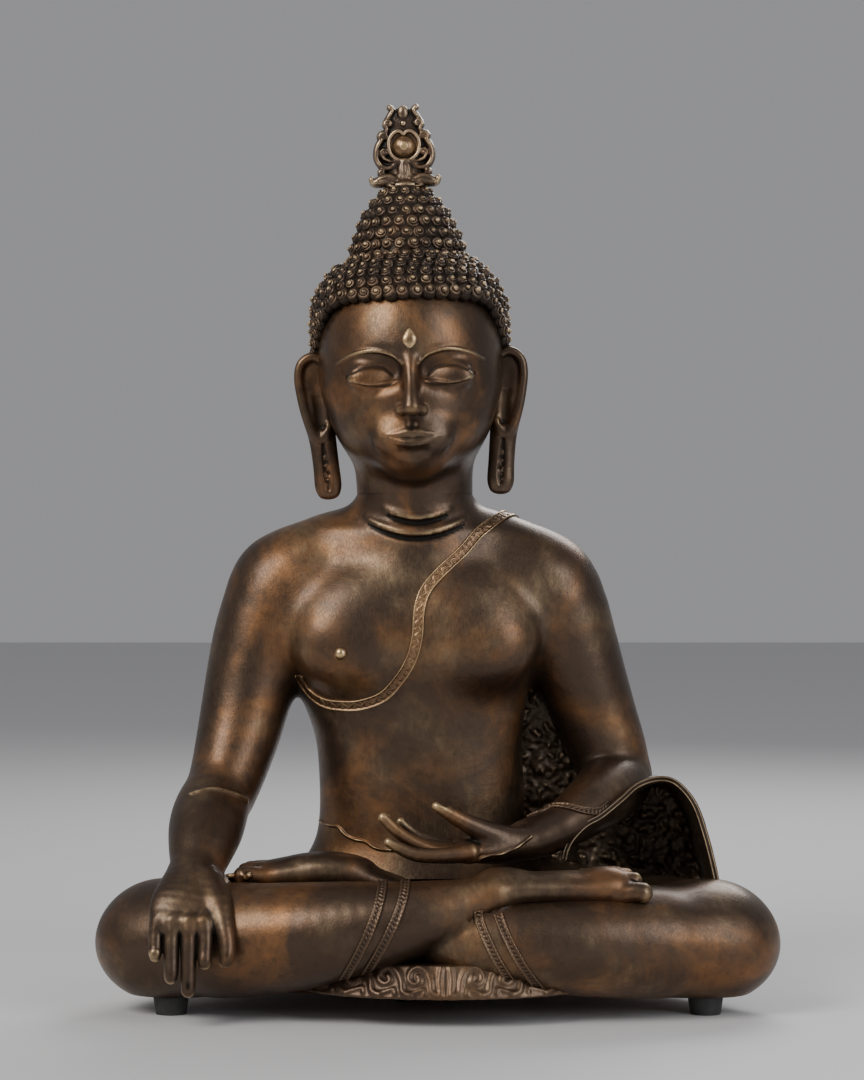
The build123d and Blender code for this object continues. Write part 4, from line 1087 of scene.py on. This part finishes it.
scroll([(3.5, 484), (8, 480.4), (13, 481.0), (16, 486), (15.6, 492), (13.2, 496.4)],
       (11.6, 498.6, 2.4, -40, 1), 2.1, 4.4)
scroll([(4, 483.4), (8, 484), (11.6, 485.6)], (11.2, 489.0, 2.7, -70, 1), 1.5, 4.8)
scroll([(10.4, 500), (9.6, 502.6)], (8.6, 505.8, 2.5, -60, 1), 1.7, 4.2)
scroll([(9.4, 508), (7.6, 511.0), (6.2, 513.6), (7.6, 515.4)], None, 1.9, 3.6)
scroll([(2.6, 479), (6.5, 476.6), (11, 476.0)], (13.2, 477.8, 1.8, -120, 1), 1.6, 4.6)
for face in (-1, 1):
    front = MOUNT_Y + face * 3.6
    ring = [(0, 499.4), (2.2, 501.2), (5.4, 500.6), (8.3, 497), (8.9, 492.4), (7.4, 487.6),
            (3.8, 484.8), (0, 484.2)]
    scroll(ring, None, 1.25, 1.6, y=front)                              # notched setting
    mount.egg((0, MOUNT_Y + face * 3.4, 492.4), (7.4, 1.6, 7.2), blend=1.0, carve=True)
    mount.egg((0, MOUNT_Y + face * 2.4, 512), (3.3, 2.6, 4.3), blend=0.8)      # tongue
    scroll([(3.9, 508.4), (4.4, 512), (3.0, 515.6)], None, 0.5, 0.9, True, front, 0.6)
    mount.egg((0, MOUNT_Y + face * 3.2, 505.8), (1.9, 1.8, 1.8), blend=0.5)
    mount.egg((0, MOUNT_Y + face * 4.0, 476.6), (4.4, 3.4, 8.6), blend=1.2)    # bud
    for x in (-1.9, 0, 1.9):
        mount.limb([(x, MOUNT_Y + face * 7.2, 471, 0.4), (x * 1.1, MOUNT_Y + face * 7.6, 477, 0.55),
                    (x * 0.7, MOUNT_Y + face * 6.6, 482.5, 0.4)], blend=0.7, carve=True)
fix(pour("finial", mount, pose=poise, shade=0.4), "brass_trim", patina(
    "finial_bronze", (0.085, 0.058, 0.042), (0.19, 0.115, 0.065), (0.62, 0.45, 0.28), gloss=0.30,
    grime_and_shade=1.0, rub=0.8), "finial")
jewel = Wax((-9, 4, 483), (9, 18, 502), 0.35)
jewel.egg((0, 12.6, 492.4), (6.5, 5.0, 6.4), blend=0.5)
fix(pour("finial_cabochon", jewel, pose=poise), "brass_trim", brass_trim, "finial_cabochon")


# ---------------------------------------------------------------------------------------------
# Hems of the robe.  Narrow bands raised on the skin between edge cords: one chased with a
# running scroll, from the shoulder round under the bare breast and up the back, two beaded ones
# on each shin, and the thin wavy edge of the under-robe at the waist.
# ---------------------------------------------------------------------------------------------
def settle(wax, points, times=4):
    """Move points to the nearest place on the surface."""
    points, shape = np.asarray(points, float).reshape(-1, 3), np.shape(points)
    for _ in range(times):
        points = points - wax.facing(points) * wax.depth(points)[:, None]
    return points.reshape(shape)


def evenly(points, step):
    """The same line with its points at even spaces."""
    points = eased(points, 8)
    run = np.r_[0, np.cumsum(np.linalg.norm(np.diff(points, axis=0), axis=1))]
    want = np.arange(0, run[-1], step)
    return np.stack([np.interp(want, run, points[:, k]) for k in range(3)], 1)


def hem(name, wax, route, width, relief, finish, node=None, step=0.42, cells=16):
    """Raised band on the wax: relief gives its height from distance along and share across."""
    route = np.asarray(route, float)
    line = settle(wax, evenly(route[~np.isnan(route).any(1)], step))
    for _ in range(12):
        line[1:-1] = (line[:-2] + 2 * line[1:-1] + line[2:]) / 4
    line = settle(wax, line)
    heading = np.gradient(line, axis=0)
    side = np.cross(heading, wax.facing(line))
    side /= np.linalg.norm(side, axis=1, keepdims=True)
    across = np.linspace(-1, 1, cells + 1)
    base = settle(wax, line[:, None] + side[:, None] * (across * width / 2)[None, :, None], 3)
    out = wax.facing(base.reshape(-1, 3)).reshape(base.shape)
    height = relief(np.arange(len(line))[:, None] * step, across[None])
    top = base + out * height[..., None]
    low = [base[:, [k]] - out[:, [k]] * 1.1 for k in (0, -1)]
    rows = np.concatenate([low[0], top, low[1]], 1)
    # relief tops rubbed bright; its low parts and the sunk edges against the skin painted dark as grime
    # and painted shade
    wear_and_shade = (height - height.mean()) / max(height.std(), 1e-6) * 0.22 + 0.10
    sunk = np.full((len(line), 1), -0.4)
    wear_and_shade = np.concatenate([sunk, wear_and_shade, sunk], 1).ravel()
    piece = forge(name, rows.reshape(-1, 3), tube_faces(*rows.shape[:2]), wear_and_shade)
    return fix(piece, "brass_trim" if finish is not skin_bronze else "bronze", finish,
               *([node] if node else []))


def running_scroll(along, across):
    """Edge cords with small linked scrolls between them."""
    cords = 1.25 * np.exp(-((np.abs(across) - 0.86) / 0.13) ** 2)
    phase = 2 * pi * along / 7.4
    wave = 0.55 * np.exp(-((across - 0.34 * np.sin(phase)) / 0.15) ** 2)
    share = (along / 3.7) % 1.0 - 0.5
    flip = np.where((along // 3.7) % 2 < 1, -1.0, 1.0)
    eye = np.hypot(share * 1.15, (across - flip * 0.24))
    rings = 0.55 * np.exp(-((eye - 0.26) / 0.09) ** 2) + 0.35 * np.exp(-(eye / 0.10) ** 2)
    return 0.35 + np.maximum(cords, np.maximum(wave, rings)) * (0.9 + 0.1 * np.sin(along * 0.31))


def knurled(along, across):
    """Rounded edge cords with a beaded field between them."""
    cords = 1.35 * np.exp(-((np.abs(across) - 0.74) / 0.22) ** 2)
    field = 0.45 * np.sin(along * 2.4 + 5 * across) * np.cos(across * 4)
    return 0.35 + np.maximum(cords * (0.9 + 0.1 * np.sin(along * 2.9)), 0.35 + field)


chest = [(38.5, 280.4), (28, 271.6), (13.7, 257.2), (-0.6, 243.4), (-8, 233.6), (-11, 222),
         (-12, 208.4), (-15.5, 195.8), (-22.4, 184.4), (-31.6, 174.6), (-43, 170), (-54.5, 169),
         (-67, 171), (-76, 177.5), (-80.5, 186)]
back = [(46, 274), (36, 264), (10, 246), (-25, 222), (-58, 199), (-78, 191)]
front_run = body.reach([(x, -110, z) for x, z in chest], (0, 1, 0))
back_run = body.reach([(x, 94, z) for x, z in back], (0, -1, 0))
hem("chest_hem", body, np.concatenate([back_run[::-1], front_run]), 6.6, running_scroll, brass_trim,
    "chest_hem_band")


def wavy_edge(along, across):
    return 0.15 + (0.95 + 0.25 * np.sin(along * 0.55)) * np.exp(-(across / 0.55) ** 2)


waist = [(-69, 100), (-63, 98.7), (-57.5, 98), (-53, 93.5), (-48, 91.5), (-42, 90.5), (-36, 87),
         (-29, 86), (-10, 85), (20, 86), (40, 92), (52, 99)]
hem("waist_edge", body, body.reach([(x, -100, z) for x, z in waist], (0, 1, 0)), 2.6, wavy_edge,
    skin_bronze, "waist_edge", cells=10)

dark_trim = patina("dark_trim_bronze", (0.095, 0.060, 0.040), (0.18, 0.10, 0.052), (0.42, 0.29, 0.17),
                   gloss=0.38, grime_and_shade=0.9, rub=0.6)
RIGHT_SHIN = np.array([(-120, -66, 42), (-84, -78, 45.5), (-52, -86, 50), (-24, -91, 55),
                       (-2, -93, 61)])
LEFT_SHIN = np.array([(120, -64, 41), (84, -75, 42), (50, -81, 43), (20, -82, 44.5), (-8, -76, 50)])


def round_the_shin(shin, top_x, foot_x, start, end):
    """Route round a shin, slanting from the top edge to the foot."""
    shin = shin[np.argsort(shin[:, 0])]
    angle = np.radians(np.linspace(start, end, 28))
    share = (np.sin(angle) + 1) / 2
    x = foot_x + (top_x - foot_x) * (1 - (1 - share) ** 1.7)
    y, z = np.interp(x, shin[:, 0], shin[:, 1]), np.interp(x, shin[:, 0], shin[:, 2])
    out = np.stack([0 * x, -np.cos(angle), np.sin(angle)], 1)
    return lower.reach(np.stack([x, y, z], 1) + 44 * out, -out)


for name, shin, end, bands in (("right_shin_hem", RIGHT_SHIN, 92, ((-30.5, -54), (-18, -42))),
                               ("left_shin_hem", LEFT_SHIN, 41, ((20, 46), (31, 60)))):
    for count, (top_x, foot_x) in enumerate(bands):
        hem(f"{name}_{count + 1}", lower, round_the_shin(shin, top_x, foot_x, -62, end), 5.4, knurled,
            dark_trim, f"{name}s" if count == 0 else None, cells=12)


# ---------------------------------------------------------------------------------------------
# Sleeve.  The robe falls from the left forearm as an open sleeve: a thin casting arched from the
# arm down to the thigh, double-corded at its mouth, rough and dark inside.
# ---------------------------------------------------------------------------------------------
def crumple(a, b, size, seed):
    """Soft random swell over a plane, from -1 to 1, with lumps of the given size."""
    lattice = np.random.default_rng(seed).uniform(-1, 1, (97, 97))
    a, b = np.asarray(a) / size + 60, np.asarray(b) / size + 60
    i, j = np.floor(a).astype(int), np.floor(b).astype(int)
    u, v = a - i, b - j
    u, v = u * u * (3 - 2 * u), v * v * (3 - 2 * v)
    near = lattice[i % 97, j % 97] * (1 - u) + lattice[(i + 1) % 97, j % 97] * u
    far = lattice[i % 97, (j + 1) % 97] * (1 - u) + lattice[(i + 1) % 97, (j + 1) % 97] * u
    return near * (1 - v) + far * v


def lump(a, b, size, seed):
    """Rough cast cloth: big folds with smaller ones on them."""
    return (crumple(a, b, size, seed) + 0.55 * crumple(b, a, size * 0.45, seed + 1)
            + 0.3 * crumple(a, b, size * 0.21, seed + 2))


mouth = [(71, -40, 84), (72.5, -39, 90), (76, -37, 96), (83.5, -33, 103), (92.8, -28, 107.8),
         (105, -20, 116.6), (114, -12, 123.3), (124, -8, 126.6), (133, -8, 126.4), (140, -12, 122),
         (146.7, -20, 112.6), (151.6, -30, 97), (155.3, -38, 80.4), (158.4, -42, 64)]
inner = [(80, 20, 76), (79, 22, 84), (82, 25, 92), (88, 28, 100), (97, 31, 107), (107, 34, 113),
         (116, 37, 118), (124, 40, 120), (132, 40, 120), (139, 40, 116), (145, 40, 107), (150, 40, 92),
         (154, 40, 76), (157, 38, 60)]


def sleeve(name, mouth, inner, thick):
    front_edge, back_edge = eased(mouth, 12), eased(inner, 12)
    share = np.r_[np.linspace(0, 0.12, 14)[:-1], np.linspace(0.12, 1, 44)]
    middle = front_edge[:, None] + (back_edge - front_edge)[:, None] * share[None, :, None]
    along_u, along_v = np.gradient(middle, axis=0), np.gradient(middle, axis=1)
    out = np.cross(along_v, along_u)
    out /= np.linalg.norm(out, axis=2, keepdims=True)
    if out[:, :, 2].mean() < 0:
        out = -out
    run = np.arange(len(front_edge))[:, None] * 1.6 + 0 * share[None]
    deep = share[None] * 62 + 0 * run
    fade = np.clip(share[None] * 7, 0, 1)
    fold = (1.4 * crumple(run, deep, 17, 3) * fade)[..., None] * out
    outer = middle + fold + out * (thick / 2 + 0.35 * fade * lump(run, deep, 7, 11))[..., None]
    under = middle + fold - out * (thick / 2 + 0.9 * fade * np.abs(lump(run, deep, 6, 21)))[..., None]
    forward = -along_v[:, 0] / np.linalg.norm(along_v[:, 0], axis=1, keepdims=True)
    lip = []
    for t in np.linspace(-1, 1, 11)[1:-1]:
        bulge = 1.25 * abs(sin(pi * t)) ** 0.8
        lip.append(middle[:, 0] + out[:, 0] * thick / 2 * t * 1.12 + forward * bulge)
    lip = np.stack(lip, 1)
    rows = np.concatenate([outer[:, ::-1], lip[:, ::-1], under], 1)
    rough_inside = -0.04 + 0.10 * lump(run, deep, 6, 21)
    # the two cords of the mouth rubbed bright; the groove between them and their edges painted dark as
    # grime and painted shade
    cord = np.array([0.5 if 0.25 < abs(t) < 0.75 else -0.3 for t in np.linspace(-1, 1, 11)[1:-1]])
    wear_and_shade = np.concatenate([np.full(outer.shape[:2], 0.02), np.broadcast_to(cord, lip.shape[:2]),
                           rough_inside], 1)
    sunk = np.concatenate([np.zeros(outer.shape[:2]), np.zeros(lip.shape[:2]),
                           np.broadcast_to(-0.02 * fade, under.shape[:2])], 1)
    return forge(name, rows.reshape(-1, 3), tube_faces(*rows.shape[:2]), wear_and_shade.ravel(),
                 sunk.ravel())


rough_bronze = patina("rough_dark_bronze", (0.070, 0.050, 0.034), (0.17, 0.098, 0.050),
                      (0.42, 0.30, 0.18), gloss=0.42, grime_and_shade=0.55, rub=0.7, grain=1.8)
fix(sleeve("hanging_sleeve", mouth, inner, 3.6), "bronze", rough_bronze, "hanging_sleeve")
hem("sleeve_cuff", body, [(49, -30, 111), (55, -33, 114), (63, -31, 114), (71, -32, 111.5),
                          (79, -30, 109), (88, -24, 109.5), (95, -20, 113)], 4.2, knurled, dark_trim,
    "sleeve_cuff", cells=12)


# ---------------------------------------------------------------------------------------------
# Back web.  The robe behind the left arm is one rough plate from the ribs to the sleeve, left
# as it came from the mould.
# ---------------------------------------------------------------------------------------------
web = Wax((34, 28, 54), (164, 54, 198), 1.0)


def web_distance(x, y, z):
    top = np.interp(x, (40, 52, 66, 84, 112, 150, 157, 158), (192, 190, 186, 158, 130, 112, 90, 62))
    middle = 42 + 1.4 * crumple(x, z, 21, 31)
    relief = 1.9 * np.abs(lump(x, z, 9.5, 41)) + 0.5 * crumple(z, x, 2.6, 44)
    body_of_plate = np.where(y < middle, middle - y - relief, y - middle) - 2.0
    edge = np.maximum(np.maximum(z - top, 60 - z), np.maximum(40 - x, x - 158)) * 0.7
    return np.maximum(body_of_plate * 0.8, edge)


web.work((40, 36, 60), (158, 48, 192), web_distance, 0.1, margin=6)
fix(pour("robe_back_web", web, shade=0.4), "bronze", rough_bronze, "robe_back_web")


# ---------------------------------------------------------------------------------------------
# Skirt fan.  The hem of the under-robe is spread on the ground before the crossed shins: a
# half-round casting with its pleats in running waves, mirrored about the middle, brazed under
# both legs.
# ---------------------------------------------------------------------------------------------
fan = Wax((-86, -120, 10), (94, -46, 40), 0.75)
FAN_X, FAN_Y, FAN_WIDE, FAN_DEEP = 4.0, -60.0, 83.0, 52.0


def fan_distance(x, y, z):
    rise = np.clip((z - 17) / 17, 0, 1.3)
    share = np.sqrt(((x - FAN_X) / FAN_WIDE) ** 2 + (np.minimum(y - FAN_Y, 0) / FAN_DEEP) ** 2)
    side = (share - 1 + 0.15 * rise) * 50
    return np.maximum(np.maximum(side * 0.9, z - 33.5), np.maximum(16 - z, y + 52))


def pleat(points, girth=1.45, carve=False, lift=-0.45):
    """A rolled pleat on the sloping face: points give distance from the middle and rise."""
    fine = eased(points, 5)
    rows = []
    for x, s in fine:
        limit = 1 - 0.15 * s
        share = np.clip(x / (FAN_WIDE * limit), -0.995, 0.995)
        out = limit + lift / 50
        rows.append((FAN_X + FAN_WIDE * out * share,
                     FAN_Y - FAN_DEEP * out * np.sqrt(1 - share ** 2), 17 + 16.5 * s, girth))
    fan.limb(rows, blend=1.5, carve=carve, steps=1)


fan.work((-82, -114, 14), (90, -50, 36), fan_distance, 0.1, margin=4)
for side in (-1, 1):
    for start, size in ((7, 1.0), (23, 1.05), (40, 1.1), (58, 1.0)):    # running waves of cloth
        pleat([(side * (start + size * x), s) for x, s in (
            (-3, 0.06), (0.5, 0.18), (1.2, 0.5), (3.6, 0.8), (8, 0.92), (12, 0.8), (13, 0.55),
            (10, 0.4), (7.2, 0.5), (8, 0.64))], 1.5)
        pleat([(side * (start + size * x), s) for x, s in (
            (4.6, 0.12), (5.2, 0.24), (9, 0.18), (12, 0.12))], 1.0)
    fan.limb([(FAN_X + side * 58, -90, 30, 5, 4), (FAN_X + side * 68, -82, 27, 7, 5),
              (FAN_X + side * 78, -76, 22, 5, 4), (FAN_X + side * 87, -70, 18.5, 1.4, 1.2)], blend=3)
pleat([(-2.6, 0.1), (-3.4, 0.5), (-2.4, 0.9)], 1.5)
pleat([(2.6, 0.1), (3.4, 0.5), (2.4, 0.9)], 1.5)
fix(pour("skirt_fan", fan, shade=0.5, rubbed=lambda points: 0.5), "bronze", patina(
    "pleated_bronze", (0.090, 0.056, 0.037), (0.19, 0.105, 0.05), (0.42, 0.29, 0.17), gloss=0.36,
    grime_and_shade=1.0, rub=0.6), "skirt_fan")


# ---------------------------------------------------------------------------------------------
# Neck sleeve and pins, closing plate, pads and screws keep the shapes of the plain model; only
# their surfaces are finished here.
# ---------------------------------------------------------------------------------------------
def plain(name, colour, darker, metal, rough, scale, bump):
    """Worn plain surface: two tones in soft patches, uneven gloss and a fine grain."""
    m = Nodes(name)
    patch, grain = m.noise(scale, 5, 0.6, twist=0.5), m.noise(scale * 14, 3, 0.6)
    m.put(m.shader.inputs["Base Color"], m.mix(m.ramp(patch, 0.35, 0.68), colour, darker))
    gloss = m.combine("ADD", m.ramp(patch, 0.3, 0.7, rough - 0.06, rough + 0.08),
                      m.combine("MULTIPLY", grain, 0.08))
    m.put(m.shader.inputs["Roughness"], gloss)
    m.shader.inputs["Metallic"].default_value = metal
    m.put(m.shader.inputs["Normal"], m.new("Bump", Strength=bump, Distance=0.0005, Height=grain)
          .outputs[0])
    return m.material


sawn_bronze = plain("sawn_bronze", (0.34, 0.20, 0.10), (0.20, 0.11, 0.06), 0.95, 0.38, 90, 0.25)
sheet_copper = plain("sheet_copper", (0.42, 0.19, 0.10), (0.17, 0.085, 0.05), 0.95, 0.36, 40, 0.15)
black_rubber = plain("black_rubber", (0.022, 0.022, 0.023), (0.045, 0.043, 0.040), 0.0, 0.68, 160, 0.5)
screw_steel = plain("screw_steel", (0.50, 0.49, 0.47), (0.30, 0.29, 0.28), 1.0, 0.30, 220, 0.15)
FINISHES = {"neck_sleeve": sawn_bronze, "neck_pins": sawn_bronze, "base_plate": sheet_copper,
            "pad_screws": screw_steel}
FINISHES.update({f"rubber_pad_{end}": black_rubber for end in ("left", "right", "centre", "rear")})
for node, finish in FINISHES.items():
    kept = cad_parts[node]
    for place in kept.material_slots:
        place.material = finish


# ---------------------------------------------------------------------------------------------
# Studio: a pale floor, two large soft lamps, and a camera level with the chest.
# ---------------------------------------------------------------------------------------------
def studio(chest_height=0.264, floor_half=6.0):
    floor = bpy.data.meshes.new("floor")
    corners = [(a * floor_half, b * floor_half, 0) for a, b in ((-1, -1), (1, -1), (1, 1), (-1, 1))]
    floor.from_pydata(corners, [], [(0, 1, 2, 3)])
    ground = bpy.data.objects.new("floor", floor)
    bpy.context.scene.collection.objects.link(ground)
    pale = Nodes("pale_floor")
    pale.shader.inputs["Base Color"].default_value = (0.62, 0.62, 0.63, 1)
    pale.shader.inputs["Roughness"].default_value = 0.6
    floor.materials.append(pale.material)
    world = bpy.data.worlds.new("studio")
    bpy.context.scene.world = world
    world.use_nodes = True
    world.node_tree.nodes["Background"].inputs["Color"].default_value = (0.30, 0.30, 0.31, 1)
    world.node_tree.nodes["Background"].inputs["Strength"].default_value = 1.0
    lamps = (("key", (-1.1, -1.1, 1.35), (0.9, 0.9), 26, (1.0, 0.96, 0.90)),
             ("fill", (1.3, -1.2, 0.9), (0.9, 1.2), 15, (0.96, 0.98, 1.0)),
             ("back", (0.5, 1.3, 1.2), (1.0, 0.6), 14, (1.0, 1.0, 1.0)))
    for name, place, (wide, tall), power, tint in lamps:
        light = bpy.data.lights.new(name, "AREA")
        light.shape, light.size, light.size_y = "RECTANGLE", wide, tall
        light.energy, light.color = power, tint
        lamp = bpy.data.objects.new(name, light)
        lamp.location = place
        aim = Vector((0, 0, 0.26)) - Vector(place)
        lamp.rotation_euler = aim.to_track_quat("-Z", "Y").to_euler()
        bpy.context.scene.collection.objects.link(lamp)
    lens = bpy.data.cameras.new("camera")
    lens.lens, lens.sensor_width = 100, 36
    camera = bpy.data.objects.new("camera", lens)
    camera.location = (-0.0035, -1.728, chest_height)
    camera.rotation_euler = (pi / 2, 0, 0)
    bpy.context.scene.collection.objects.link(camera)
    bpy.context.scene.camera = camera


studio()
